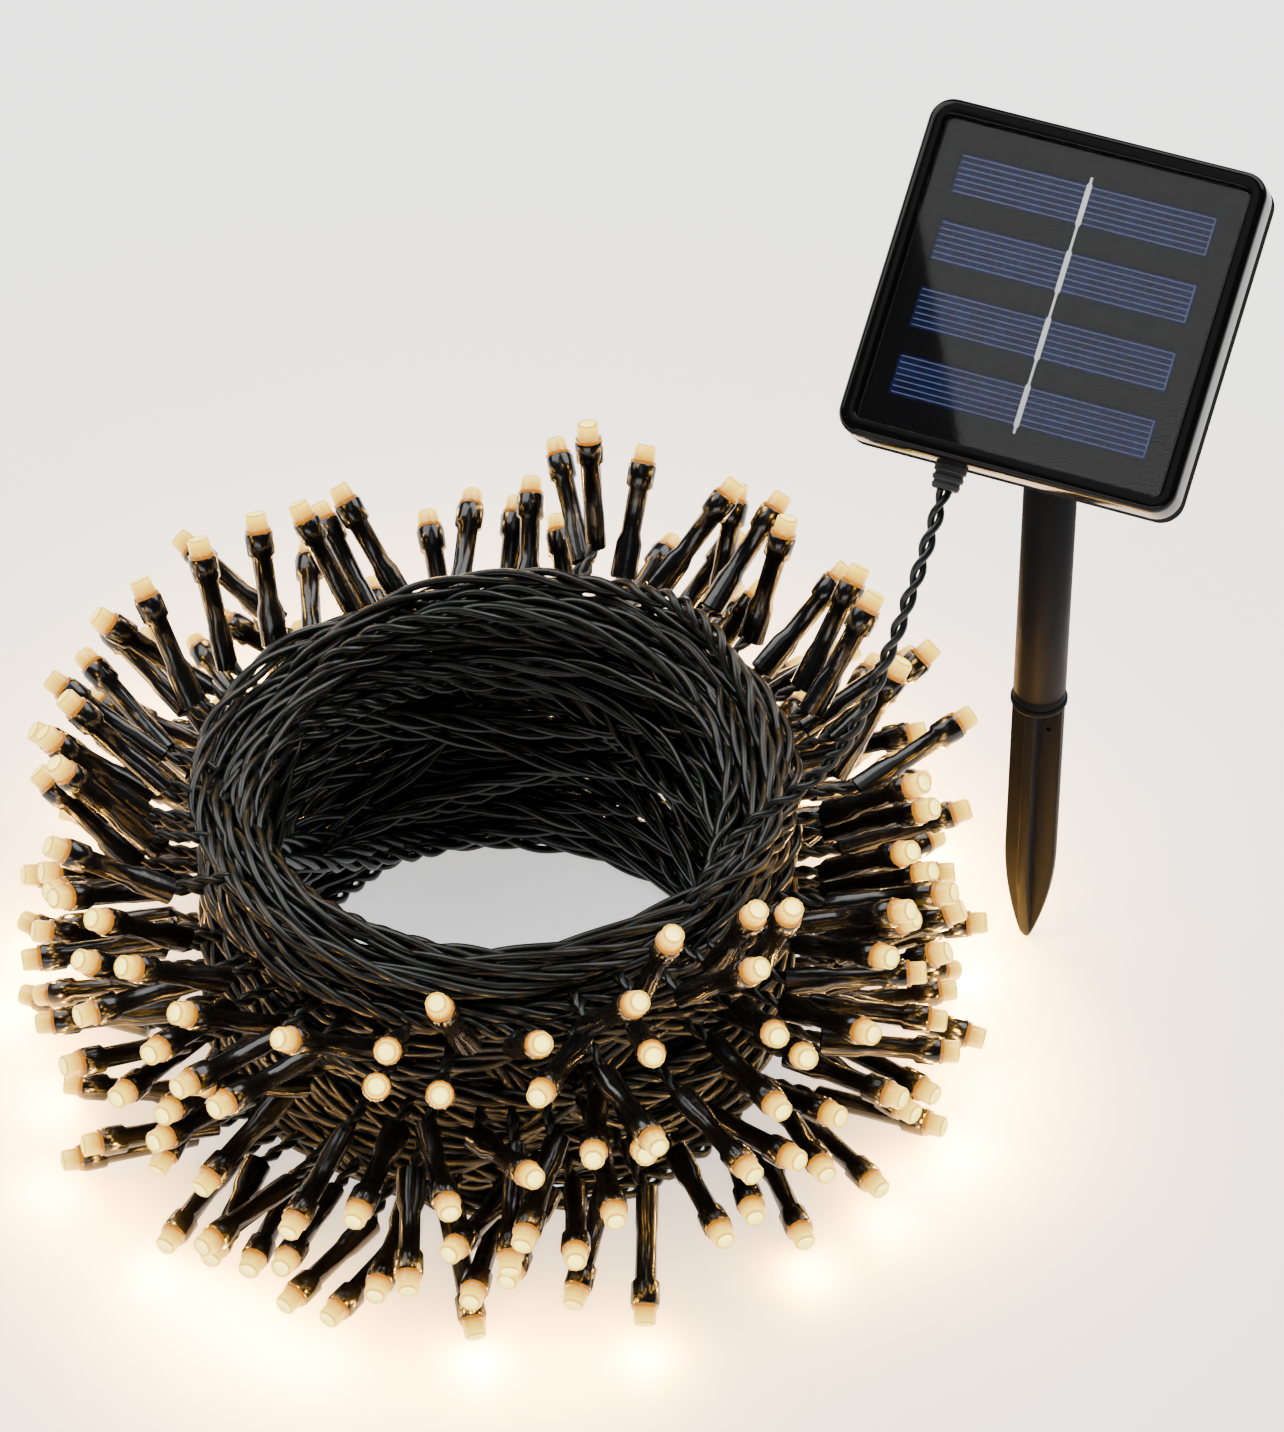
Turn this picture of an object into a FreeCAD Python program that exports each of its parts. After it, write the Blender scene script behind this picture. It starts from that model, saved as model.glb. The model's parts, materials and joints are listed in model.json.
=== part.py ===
"""Solar string lights: a solar head on a ground stake, and a loose coil of 200 capsule lights."""

import FreeCAD
import Part

import math
import os
import random

from FreeCAD import Placement, Rotation, Vector

# All sizes are millimetres. The origin is the tip of the ground spike, and +Z runs up the stake.

# How far a cutter runs past the face it opens, and how far pieces that are fused run into each other.
cut_past = 1.0
weld = 0.5

# An edge that spans less than this lies flat.
flat_edge = 0.01

# Solar head, seen square on: width, corner and the depths of its two shells.
head_side = 72.0
head_corner_radius = 5.0
bezel_depth = 7.5
bezel_rim = 3.5
bezel_edge_radius = 1.6
ledge_width = 3.5
flange_depth = 4.0
box_width = 62.0
box_height = 54.0
box_depth = 10.5
box_corner_radius = 4.0
shell_wall = 1.8
rear_edge_radius = 1.2

# Solar panel laminate under its clear cover.
cover_recess = 0.8
cover_thickness = 1.6
board_thickness = 1.6
laminate_clearance = 0.2
laminate_corner_radius = 1.5
cell_count = 4
cell_length = 55.0
cell_width = 8.8
cell_pitch = 14.3
cell_thickness = 0.25
cell_pocket_depth = 0.4
cell_pocket_clearance = 0.1
finger_count = 7
finger_width = 0.25
finger_thickness = 0.08
finger_inset = 0.5
ribbon_width = 1.1
ribbon_link_width = 0.5
ribbon_overhang = 1.4
ribbon_thickness = 0.05
ribbon_groove_clearance = 0.05

# Seal and screws that close the head.
gasket_width = 1.1
gasket_height = 1.0
gasket_inset = 5.1
gasket_clearance = 0.05
screw_inset = 3.5
screw_shank_radius = 1.0
screw_hole_clearance = 0.1
screw_head_radius = 1.9
screw_head_height = 1.5
screw_bite = 2.9
counterbore_clearance = 0.2
screw_slot_width = 0.5
screw_slot_share = 0.7

# Tilt hinge behind the head.
hinge_offset_down = 14.0
hinge_offset_back = 28.5
rest_tilt = 52.0
lug_radius = 5.2
lug_thickness = 3.0
hinge_bolt_radius = 2.0
hinge_hole_clearance = 0.05
hinge_side_clearance = 0.1
eye_radius = 4.8
eye_width = 7.0
washer_thickness = 0.5
washer_radius = 4.2
bolt_head_radius = 3.6
bolt_head_height = 2.2
bolt_head_edge = 0.6
bolt_thread_length = 6.4
knob_radius = 5.6
knob_height = 5.0
knob_lobes = 6
knob_edge = 0.6
knob_flute_radius = 1.3
knob_flute_share = 0.4
knob_gap = 0.1

# Stake: tube, bracket stem and ribbed ground spike.
tube_radius = 5.65
tube_wall = 1.3
tube_length = 65.0
hinge_height_over_tube = 19.0
stem_clearance = 0.05
stem_length = 16.0
stub_radius = 5.0
stub_drop = 1.5
cheek_sink = 2.0
ring_radius = 6.15
ring_thickness = 1.0
ring_edge = 0.4
ring_gap = 0.1
spike_length = 72.0
spike_shoulder = 28.0
spike_curve_rise = 0.4
spike_curve_bulge = 0.66
spike_rib_thickness = 2.4
spike_tip_half_width = 0.5
spike_collar_radius = 6.15
spike_collar_thickness = 1.2
spike_peg_length = 12.0
spike_hole_radius = 0.6
spike_hole_drop = 7.0

# Parts inside the head.
battery_radius = 7.25
battery_length = 48.5
battery_nub_radius = 2.6
battery_nub_height = 1.2
battery_clearance = 0.15
battery_offset_down = 13.0
cradle_width = 17.0
cradle_height = 6.5
cradle_set_in = 1.0
contact_thickness = 0.4
contact_width = 8.0
contact_height = 9.0
contact_bow = 1.2
control_board_length = 42.0
control_board_width = 20.0
control_board_thickness = 1.6
control_board_offset_up = 12.5
chip_height = 1.5
controller_x = -1.5
controller_length = 6.0
controller_width = 5.0
timer_x = 8.5
timer_length = 5.0
timer_width = 4.0
choke_x = -12.0
choke_radius = 3.2
choke_height = 4.5
capacitor_x = 16.0
capacitor_drop = 4.0
capacitor_radius = 2.5
capacitor_height = 5.0
post_radius = 1.8
post_inset = 2.5
post_height = 5.2
switch_body_side = 6.0
switch_body_height = 2.6
switch_plunger_radius = 1.6
switch_plunger_height = 1.1
button_spacing = 22.0
button_radius = 3.0
button_clearance = 0.1
button_proud = 1.0
button_edge_radius = 0.5
button_flange_radius = 4.0
button_flange_thickness = 0.75
button_flange_gap = 0.05
hookup_wire_radius = 0.6
hookup_wire_inset = 2.0
hookup_wire_spacing = 6.0

# Cable gland and the lead that leaves it.
gland_offset_left = 12.0
gland_width = 7.0
gland_depth = 3.7
gland_length = 5.0
gland_neck_radius = 0.9
gland_corner_radius = 1.2
gland_neck_length = 6.0
cord_radius = 1.7
lead_straight = 14.0

# Coil of lights. Its centre is left of the stake and a little in front of it.
coil_centre_x = -98.0
coil_centre_y = -66.0
coil_inner_radius_low = 46.0
coil_inner_radius_high = 54.0
coil_outer_radius = 66.0
coil_height = 74.0
coil_edge_radius = 5.0

# One light: a black sleeve, with the clear light-emitting diode in its collar.
light_count = 200
light_groups = 4
light_spacing_along_cord = 100.0
sleeve_length = 25.5
sleeve_base_width = 6.2
sleeve_base_thickness = 4.6
sleeve_base_length = 9.5
sleeve_base_corner = 1.9
sleeve_barrel_radius = 2.25
sleeve_bore_radius = 1.5
collar_radius = 3.15
collar_length = 5.2
collar_edge = 0.4
diode_radius = 2.45
diode_clearance = 0.05
diode_seat_depth = 4.5
diode_reach = 4.2
diode_flange_radius = 2.9
diode_flange_height = 0.8
diode_edge = 0.5
dimple_radius = 1.75
dimple_depth = 1.4
leg_side = 0.5
leg_spacing = 1.27
leg_length = 7.0
tail_radius = 1.6
tail_bite = 0.6
tail_root_depth = 5.0

# How the lights fan out round the coil.
light_seed = 11
base_gap_low = 3.4
base_gap_high = 11.0
light_tilt_low = -16.0
light_tilt_high = 50.0
light_tilt_curve = 1.3
light_tilt_scatter = 24.0
light_swing_scatter = 34.0
flat_tilt_low = -1.0
flat_tilt_high = 6.0
floor_share = 0.12
base_margin_low = 1.0
base_margin_high = 2.0
height_step = 0.618
height_jitter = 0.05
angle_jitter = 0.06
placing_tries = 400
tries_per_loosening = 60.0
light_clearance = 0.35
floor_clearance = 0.2
stake_clearance = 2.0
lead_clearance = 3.0

# Heights up the stake that follow from the sizes above.
tube_bottom = spike_length + spike_collar_thickness
tube_top = tube_bottom + tube_length
hinge_height = tube_top + hinge_height_over_tube
tube_bore_radius = tube_radius - tube_wall
bolt_hole_radius = hinge_bolt_radius + hinge_hole_clearance

# Depths in the head, counted back from its front rim along the head's own -Z.
cover_back = cover_recess + cover_thickness
laminate_back = cover_back + board_thickness
deck_back = bezel_depth + flange_depth
box_back = deck_back + box_depth
box_floor = box_back - shell_wall
control_board_back = box_floor - post_height
screw_place = head_side / 2 - screw_inset
lug_inner = eye_width / 2 + washer_thickness + hinge_side_clearance
lug_outer = lug_inner + lug_thickness


def head_placement():
    """Takes the head's own frame, with its face in XY, to its place over the stake at the rest tilt."""
    turn = Rotation(Vector(1, 0, 0), 90.0 - rest_tilt)
    hinge_in_head = Vector(0, -hinge_offset_down, -hinge_offset_back)
    return Placement(Vector(0, 0, hinge_height) - turn.multVec(hinge_in_head), turn)


HEAD = head_placement()


def on_head(shape):
    """A copy of a shape drawn in the head's frame, moved to its place in the world."""
    placed = shape.copy()
    placed.Placement = HEAD.multiply(placed.Placement)
    return placed


def rounded_slab(width, height, corner_radius, low, high):
    """A plate with rounded corners, centred on the Z axis, from Z = low to Z = high."""
    slab = Part.makeBox(width, height, high - low, Vector(-width / 2, -height / 2, low))
    uprights = [edge for edge in slab.Edges if is_upright(edge)]
    return slab.makeFillet(corner_radius, uprights)


def is_upright(edge):
    ends = [vertex.Point for vertex in edge.Vertexes]
    return len(ends) == 2 and abs((ends[1] - ends[0]).normalize().z) > 0.999


def edges_at_height(shape, height, reach_x, reach_y):
    """The edges that lie flat at one height and outside a rectangle of half-sizes reach_x, reach_y."""
    found = []
    for edge in shape.Edges:
        box = edge.BoundBox
        outside = max(abs(box.XMin), abs(box.XMax)) > reach_x or max(abs(box.YMin), abs(box.YMax)) > reach_y
        if abs(box.ZMin - height) < 1e-6 and abs(box.ZMax - height) < 1e-6 and outside:
            found.append(edge)
    return found


def block(x_low, x_high, y_low, y_high, z_low, z_high):
    size = (x_high - x_low, y_high - y_low, z_high - z_low)
    return Part.makeBox(*size, Vector(x_low, y_low, z_low))


def rod(start, end, radius):
    """A round bar from one point to another."""
    run = end - start
    return Part.makeCylinder(radius, run.Length, start, run)


def cross_rod(x_low, x_high, centre, radius):
    """A round bar along X, with its middle line through a centre given as (y, z)."""
    return rod(Vector(x_low, *centre), Vector(x_high, *centre), radius)


def joined(first, *others):
    """Several solids fused into one, without the seams left by coplanar faces."""
    return first.fuse(list(others)).removeSplitter()


# The head's two shells.


def screw_places():
    return [(x, y) for x in (-screw_place, screw_place) for y in (-screw_place, screw_place)]


def front_bezel():
    frame = rounded_slab(head_side, head_side, head_corner_radius, -bezel_depth, 0)
    front_edges = edges_at_height(frame, 0, head_side / 4, head_side / 4)
    frame = frame.makeFillet(bezel_edge_radius, front_edges)
    recess = head_side - 2 * bezel_rim
    frame = frame.cut(rounded_slab(recess, recess, laminate_corner_radius, -laminate_back, cut_past))
    opening = recess - 2 * ledge_width
    frame = frame.cut(rounded_slab(opening, opening, laminate_corner_radius, -bezel_depth - cut_past, 0))
    for x, y in screw_places():
        pilot_low = Vector(x, y, -bezel_depth - cut_past)
        pilot_top = Vector(x, y, -bezel_depth + screw_bite + screw_hole_clearance)
        frame = frame.cut(rod(pilot_low, pilot_top, screw_shank_radius))
    return frame


def hinge_lug(x_low, x_high):
    centre = (-hinge_offset_down, -hinge_offset_back)
    barrel = cross_rod(x_low, x_high, centre, lug_radius)
    web = block(x_low, x_high, centre[0] - lug_radius, centre[0] + lug_radius, centre[1], -box_back + weld)
    return barrel.fuse(web)


def button_places():
    return [Vector(x, control_board_offset_up, 0) for x in (-button_spacing / 2, button_spacing / 2)]


def board_corners():
    half_length = control_board_length / 2 - post_inset
    half_width = control_board_width / 2 - post_inset
    rows = (control_board_offset_up - half_width, control_board_offset_up + half_width)
    return [(x, y) for x in (-half_length, half_length) for y in rows]


def back_shell():
    flange = rounded_slab(head_side, head_side, head_corner_radius, -deck_back, -bezel_depth)
    box = rounded_slab(box_width, box_height, box_corner_radius, -box_back, -deck_back + weld)
    box = box.makeFillet(rear_edge_radius, edges_at_height(box, -box_back, box_width / 4, box_height / 4))
    lugs = [hinge_lug(lug_inner, lug_outer), hinge_lug(-lug_outer, -lug_inner)]
    shell = joined(flange, box, *lugs)
    inner_width = box_width - 2 * shell_wall
    inner_height = box_height - 2 * shell_wall
    inner_corner = box_corner_radius - shell_wall
    cuts = [rounded_slab(inner_width, inner_height, inner_corner, -box_floor, 0)]
    gasket_top = -bezel_depth - gasket_height
    cuts.append(gasket_ring(gasket_clearance, gasket_top, -bezel_depth + cut_past))
    for x, y in screw_places():
        hole_radius = screw_shank_radius + screw_hole_clearance
        cuts.append(rod(Vector(x, y, -deck_back - cut_past), Vector(x, y, 0), hole_radius))
        sink = -deck_back + screw_head_height
        sink_radius = screw_head_radius + counterbore_clearance
        cuts.append(rod(Vector(x, y, -deck_back - cut_past), Vector(x, y, sink), sink_radius))
    for place in button_places():
        low = place + Vector(0, 0, -box_back - cut_past)
        high = place + Vector(0, 0, -box_floor + cut_past)
        cuts.append(rod(low, high, button_radius + button_clearance))
    hinge = (-hinge_offset_down, -hinge_offset_back)
    cuts.append(cross_rod(-lug_outer - cut_past, lug_outer + cut_past, hinge, bolt_hole_radius))
    neck_inside = Vector(-gland_offset_left, -inner_height / 2 + cut_past, gland_height())
    neck_outside = Vector(-gland_offset_left, -head_side / 2 - cut_past, gland_height())
    cuts.append(rod(neck_outside, neck_inside, gland_neck_radius))
    shell = shell.cut(cuts)
    posts = []
    for x, y in board_corners():
        posts.append(rod(Vector(x, y, -box_floor - weld), Vector(x, y, -control_board_back), post_radius))
    return joined(shell, *posts)


def gasket_ring(clearance, low, high):
    seal_side = head_side - 2 * gasket_inset
    outer = seal_side + 2 * clearance
    inner = seal_side - 2 * gasket_width - 2 * clearance
    ring = rounded_slab(outer, outer, laminate_corner_radius + gasket_width, low, high)
    return ring.cut(rounded_slab(inner, inner, laminate_corner_radius, low - cut_past, high + cut_past))


def case_gasket():
    return gasket_ring(0, -bezel_depth - gasket_height, -bezel_depth)


def case_screws():
    screws = []
    for x, y in screw_places():
        tip = Vector(x, y, -bezel_depth + screw_bite)
        head_back = Vector(x, y, -deck_back)
        head_front = Vector(x, y, -deck_back + screw_head_height)
        head = rod(head_back, head_front, screw_head_radius)
        slot_depth = screw_head_height / 2
        slot_low = -deck_back - cut_past
        slot_high = -deck_back + slot_depth
        reach = screw_head_radius * screw_slot_share
        half = screw_slot_width / 2
        slot_across = block(x - reach, x + reach, y - half, y + half, slot_low, slot_high)
        slot_up = block(x - half, x + half, y - reach, y + reach, slot_low, slot_high)
        shank = rod(head_front - Vector(0, 0, weld), tip, screw_shank_radius)
        screws.append(head.fuse(shank).cut([slot_across, slot_up]))
    return screws


# The solar laminate.


def laminate_side():
    return head_side - 2 * bezel_rim - 2 * laminate_clearance


def solar_cover():
    side = laminate_side()
    return rounded_slab(side, side, laminate_corner_radius, -cover_back, -cover_recess)


def cell_rows():
    return [(index - (cell_count - 1) / 2) * cell_pitch for index in range(cell_count)]


def cell_slab(row, grow, low, high):
    half_length = cell_length / 2 + grow
    half_width = cell_width / 2 + grow
    return block(-half_length, half_length, row - half_width, row + half_width, low, high)


def ribbon_end():
    return cell_rows()[-1] + cell_width / 2 + ribbon_overhang


def ribbon_shape(grow, low, high):
    """The ribbon that joins the cells: wide over each cell and narrow between them."""
    end = ribbon_end() + grow
    link = ribbon_link_width / 2 + grow
    wide = ribbon_width / 2 + grow
    strips = [block(-link, link, -end, end, low, high)]
    for row in cell_rows():
        reach = cell_width / 2 + grow
        strips.append(block(-wide, wide, row - reach, row + reach, low, high))
    return joined(*strips)


def finger_top():
    return -cover_back - cell_pocket_depth + cell_thickness + finger_thickness


def cell_board():
    side = laminate_side()
    board = rounded_slab(side, side, laminate_corner_radius, -laminate_back, -cover_back)
    pocket_floor = -cover_back - cell_pocket_depth
    cuts = [cell_slab(row, cell_pocket_clearance, pocket_floor, 0) for row in cell_rows()]
    cuts.append(ribbon_shape(ribbon_groove_clearance, finger_top(), 0))
    return board.cut(cuts)


def solar_cells():
    low = -cover_back - cell_pocket_depth
    return [cell_slab(row, 0, low, low + cell_thickness) for row in cell_rows()]


def cell_fingers():
    """The silver grid on each cell: level lines joined by an upright one at the right-hand end."""
    high = finger_top()
    low = high - finger_thickness
    right = cell_length / 2 - finger_inset
    reach = cell_width / 2 - finger_inset
    grids = []
    for row in cell_rows():
        bars = [block(right - finger_width, right, row - reach, row + reach, low, high)]
        for index in range(finger_count):
            y = row - reach + index * (2 * reach - finger_width) / (finger_count - 1)
            bars.append(block(-right, right, y, y + finger_width, low, high))
        grids.append(joined(*bars))
    return grids


def bus_ribbon():
    low = finger_top()
    return ribbon_shape(0, low, low + ribbon_thickness)


# The electronics.


def battery_centre():
    return (-battery_offset_down, -box_floor + battery_radius + battery_clearance)


def battery():
    centre = battery_centre()
    half = battery_length / 2
    can = cross_rod(-half, half, centre, battery_radius)
    nub = cross_rod(half - weld, half + battery_nub_height, centre, battery_nub_radius)
    return joined(can, nub)


def battery_cradle():
    y, z = battery_centre()
    half = battery_length / 2 - cradle_set_in
    low = -box_floor
    cradle = block(-half, half, y - cradle_width / 2, y + cradle_width / 2, low, low + cradle_height)
    trough = cross_rod(-half - cut_past, half + cut_past, (y, z), battery_radius + battery_clearance)
    return cradle.cut(trough)


def battery_contacts():
    """A plain plate against the nub, and a bowed leaf that presses on the flat end."""
    y, z = battery_centre()
    inner_half_width = box_width / 2 - shell_wall
    nub_end = battery_length / 2 + battery_nub_height
    y_low = y - contact_width / 2
    z_low = -box_floor
    z_high = z_low + contact_height
    plate = block(nub_end, nub_end + contact_thickness, y_low, y_low + contact_width, z_low, z_high)
    wall_side = -inner_half_width + contact_thickness
    touch = -battery_length / 2
    outline = [
        Vector(wall_side, y_low, z_low),
        Vector(wall_side, y_low, z_high),
        Vector(wall_side - contact_thickness, y_low, z_high),
        Vector(wall_side - contact_thickness, y_low, z_low),
    ]
    leaf = Part.Face(Part.makePolygon(outline + outline[:1])).extrude(Vector(0, contact_width, 0))
    bow_low = Vector(wall_side - 0.1, y, z - contact_bow)
    bow = rod(bow_low, Vector(touch, y, z - contact_bow), contact_bow)
    return [plate, joined(leaf, bow)]


def control_board():
    low = -control_board_back
    high = low + control_board_thickness
    y = control_board_offset_up
    half_length = control_board_length / 2
    half_width = control_board_width / 2
    return block(-half_length, half_length, y - half_width, y + half_width, low, high)


def chip(x, length, width, base):
    y = control_board_offset_up
    return block(x - length / 2, x + length / 2, y - width / 2, y + width / 2, base, base + chip_height)


def board_components():
    """The charge controller, its coil, a capacitor and a timer chip on the front of the board."""
    base = -control_board_back + control_board_thickness
    y = control_board_offset_up
    controller = chip(controller_x, controller_length, controller_width, base)
    timer = chip(timer_x, timer_length, timer_width, base)
    choke_foot = Vector(choke_x, y, base)
    choke = rod(choke_foot, choke_foot + Vector(0, 0, choke_height), choke_radius)
    capacitor_foot = Vector(capacitor_x, y - capacitor_drop, base)
    capacitor = rod(capacitor_foot, capacitor_foot + Vector(0, 0, capacitor_height), capacitor_radius)
    return [controller, timer, choke, capacitor]


def tact_switches():
    switches = []
    back = -control_board_back
    half = switch_body_side / 2
    for place in button_places():
        body_back = back - switch_body_height
        body = block(place.x - half, place.x + half, place.y - half, place.y + half, body_back, back)
        plunger_back = Vector(place.x, place.y, body_back - switch_plunger_height)
        plunger = rod(plunger_back, Vector(place.x, place.y, body_back + weld), switch_plunger_radius)
        switches.append(joined(body, plunger))
    return switches


def push_button(place):
    """A round cap through the back wall, kept in by a flange on the inside."""
    outer = place + Vector(0, 0, -box_back - button_proud)
    inner = place + Vector(0, 0, -box_floor + button_flange_gap + button_flange_thickness)
    cap = rod(outer, inner, button_radius)
    cap = cap.makeFillet(button_edge_radius, edges_at_height(cap, outer.z, 0, 0))
    flange_back = place + Vector(0, 0, -box_floor + button_flange_gap)
    return joined(cap, rod(flange_back, inner, button_flange_radius))


def hookup_wires():
    """Two straight leads from the solar laminate to the control board."""
    board_front = -control_board_back + control_board_thickness
    y = control_board_offset_up + control_board_width / 2 - hookup_wire_inset
    wires = []
    for x in (-hookup_wire_spacing / 2, hookup_wire_spacing / 2):
        wires.append(rod(Vector(x, y, board_front), Vector(x, y, -laminate_back), hookup_wire_radius))
    return wires


def gland_height():
    return -bezel_depth - flange_depth / 2


def cable_gland():
    """A flat grommet under the head, with a neck through the lower wall."""
    face = -head_side / 2
    body = rounded_slab(gland_width, gland_depth, gland_corner_radius, 0, gland_length)
    at_lower_wall = Vector(-gland_offset_left, face, gland_height())
    body.Placement = Placement(at_lower_wall, Rotation(Vector(1, 0, 0), 90))
    neck_low = Vector(-gland_offset_left, face - weld, gland_height())
    neck_high = Vector(-gland_offset_left, face + gland_neck_length, gland_height())
    return joined(body, rod(neck_low, neck_high, gland_neck_radius))


# The hinge and the stake.


def washers():
    rings = []
    centre = (0, hinge_height)
    for side in (-1, 1):
        near = side * eye_width / 2
        far = side * (eye_width / 2 + washer_thickness)
        ring = cross_rod(min(near, far), max(near, far), centre, washer_radius)
        rings.append(ring.cut(cross_rod(-eye_width, eye_width, centre, bolt_hole_radius)))
    return rings


def hinge_bolt():
    centre = (-hinge_offset_down, -hinge_offset_back)
    end = lug_outer + bolt_thread_length
    shank = cross_rod(-lug_outer - weld, end, centre, hinge_bolt_radius)
    head = cross_rod(-lug_outer - bolt_head_height, -lug_outer, centre, bolt_head_radius)
    end_face = -lug_outer - bolt_head_height
    head = head.makeFillet(bolt_head_edge, [e for e in head.Edges if e.BoundBox.XMax < end_face + flat_edge])
    return joined(head, shank)


def clamp_knob():
    """A fluted thumb nut on the end of the hinge bolt."""
    y, z = -hinge_offset_down, -hinge_offset_back
    low = lug_outer + knob_gap
    knob = cross_rod(low, low + knob_height, (y, z), knob_radius)
    knob = knob.makeChamfer(knob_edge, [e for e in knob.Edges if e.BoundBox.XLength < flat_edge])
    cuts = [cross_rod(low - cut_past, low + knob_height + cut_past, (y, z), bolt_hole_radius)]
    for index in range(knob_lobes):
        angle = 2 * math.pi * index / knob_lobes
        reach = knob_radius + knob_flute_radius * knob_flute_share
        centre = (y + reach * math.cos(angle), z + reach * math.sin(angle))
        cuts.append(cross_rod(low - cut_past, low + knob_height + cut_past, centre, knob_flute_radius))
    return knob.cut(cuts)


def tilt_bracket():
    """The eye, stub, ring and stem that join the head to the tube."""
    eye = cross_rod(-eye_width / 2, eye_width / 2, (0, hinge_height), eye_radius)
    ring_low = tube_top + ring_gap
    ring = rod(Vector(0, 0, ring_low), Vector(0, 0, ring_low + ring_thickness), ring_radius)
    ring = ring.makeFillet(ring_edge, [e for e in ring.Edges if e.BoundBox.ZLength < flat_edge])
    stub_top = hinge_height - eye_radius - stub_drop
    stub = rod(Vector(0, 0, ring_low), Vector(0, 0, stub_top), stub_radius)
    cheek = block(-eye_width / 2, eye_width / 2, -eye_radius, eye_radius, stub_top - cheek_sink, hinge_height)
    neck = cheek.common(rod(Vector(0, 0, ring_low), Vector(0, 0, hinge_height), stub_radius))
    stem_radius = tube_bore_radius - stem_clearance
    stem = rod(Vector(0, 0, tube_top - stem_length), Vector(0, 0, ring_low + weld), stem_radius)
    bracket = joined(eye, ring, stub, neck, stem)
    hole = cross_rod(-eye_width, eye_width, (0, hinge_height), bolt_hole_radius)
    return bracket.cut(hole)


def stake_tube():
    tube = rod(Vector(0, 0, tube_bottom), Vector(0, 0, tube_top), tube_radius)
    bore_low = Vector(0, 0, tube_bottom - cut_past)
    bore_high = Vector(0, 0, tube_top + cut_past)
    return tube.cut(rod(bore_low, bore_high, tube_bore_radius))


def spike_rib():
    """One flat rib: parallel sides down to the shoulder, then a long curve in to the tip."""
    half = tube_radius
    tip = spike_tip_half_width
    curve_height = spike_shoulder * spike_curve_rise
    curve_half = tip + (half - tip) * spike_curve_bulge
    top_left = Vector(-half, 0, spike_length)
    top_right = Vector(half, 0, spike_length)
    edges = [
        Part.LineSegment(top_left, top_right),
        Part.LineSegment(top_right, Vector(half, 0, spike_shoulder)),
        Part.Arc(Vector(half, 0, spike_shoulder), Vector(curve_half, 0, curve_height), Vector(tip, 0, 0)),
        Part.LineSegment(Vector(tip, 0, 0), Vector(-tip, 0, 0)),
        Part.Arc(Vector(-tip, 0, 0), Vector(-curve_half, 0, curve_height), Vector(-half, 0, spike_shoulder)),
        Part.LineSegment(Vector(-half, 0, spike_shoulder), top_left),
    ]
    outline = Part.Wire([edge.toShape() for edge in edges])
    rib = Part.Face(outline).extrude(Vector(0, spike_rib_thickness, 0))
    rib.translate(Vector(0, -spike_rib_thickness / 2, 0))
    return rib


def ground_spike():
    rib = spike_rib()
    cross = rib.copy()
    cross.rotate(Vector(0, 0, 0), Vector(0, 0, 1), 90)
    collar = rod(Vector(0, 0, spike_length), Vector(0, 0, tube_bottom), spike_collar_radius)
    peg_top = Vector(0, 0, tube_bottom + spike_peg_length)
    peg = rod(Vector(0, 0, spike_length), peg_top, tube_bore_radius - stem_clearance)
    spike = joined(rib, cross, collar, peg)
    hole_height = spike_length - spike_hole_drop
    hole_x = tube_radius / 2
    hole_start = Vector(hole_x, -spike_rib_thickness, hole_height)
    return spike.cut(rod(hole_start, hole_start + Vector(0, 2 * spike_rib_thickness, 0), spike_hole_radius))


# The lead from the gland to the coil.


def gland_mouth():
    return HEAD.multVec(Vector(-gland_offset_left, -head_side / 2 - gland_length, gland_height()))


def lead_route():
    """Out of the gland, down under its own weight, and over the rim of the coil into its turns."""
    mouth = gland_mouth()
    outwards = HEAD.Rotation.multVec(Vector(0, -1, 0))
    return [
        mouth,
        mouth + outwards * lead_straight,
        Vector(-15.0, -53.0, 129.0),
        Vector(-20.0, -58.0, 109.0),
        Vector(-28.0, -60.0, 92.5),
        Vector(-38.0, -66.0, 84.0),
        Vector(-43.0, -77.0, 80.0),
        Vector(-46.0, -87.0, 73.0),
    ]


def rounded_route(points):
    """Straight runs joined by tangent arcs, each as large as 0.45 of the shorter run allows."""
    edges = []
    radii = []
    start = points[0]
    for before, corner, after in zip(points, points[1:], points[2:]):
        run_in = (corner - before).normalize()
        run_out = (after - corner).normalize()
        half_turn = run_in.getAngle(run_out) / 2
        cut_back = 0.45 * min((corner - before).Length, (after - corner).Length)
        radii.append(cut_back / math.tan(half_turn))
        arc_start = corner - run_in * cut_back
        arc_end = corner + run_out * cut_back
        inward = (run_out - run_in).normalize()
        to_centre = radii[-1] / math.cos(half_turn)
        middle = corner + inward * (to_centre - radii[-1])
        edges.append(Part.LineSegment(start, arc_start).toShape())
        edges.append(Part.Arc(arc_start, middle, arc_end).toShape())
        start = arc_end
    edges.append(Part.LineSegment(start, points[-1]).toShape())
    return Part.Wire(edges), radii


def panel_lead():
    points = lead_route()
    path, radii = rounded_route(points)
    section = Part.Wire([Part.makeCircle(cord_radius, points[0], points[1] - points[0])])
    tube = path.makePipeShell([section], True, True)
    expected = math.pi * cord_radius**2 * path.Length
    print("lead length %.1f, arc radii %s" % (path.Length, ["%.1f" % radius for radius in radii]))
    print("lead volume %.1f, section times length %.1f" % (tube.Volume, expected))
    return tube


# The coil and its lights.


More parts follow.
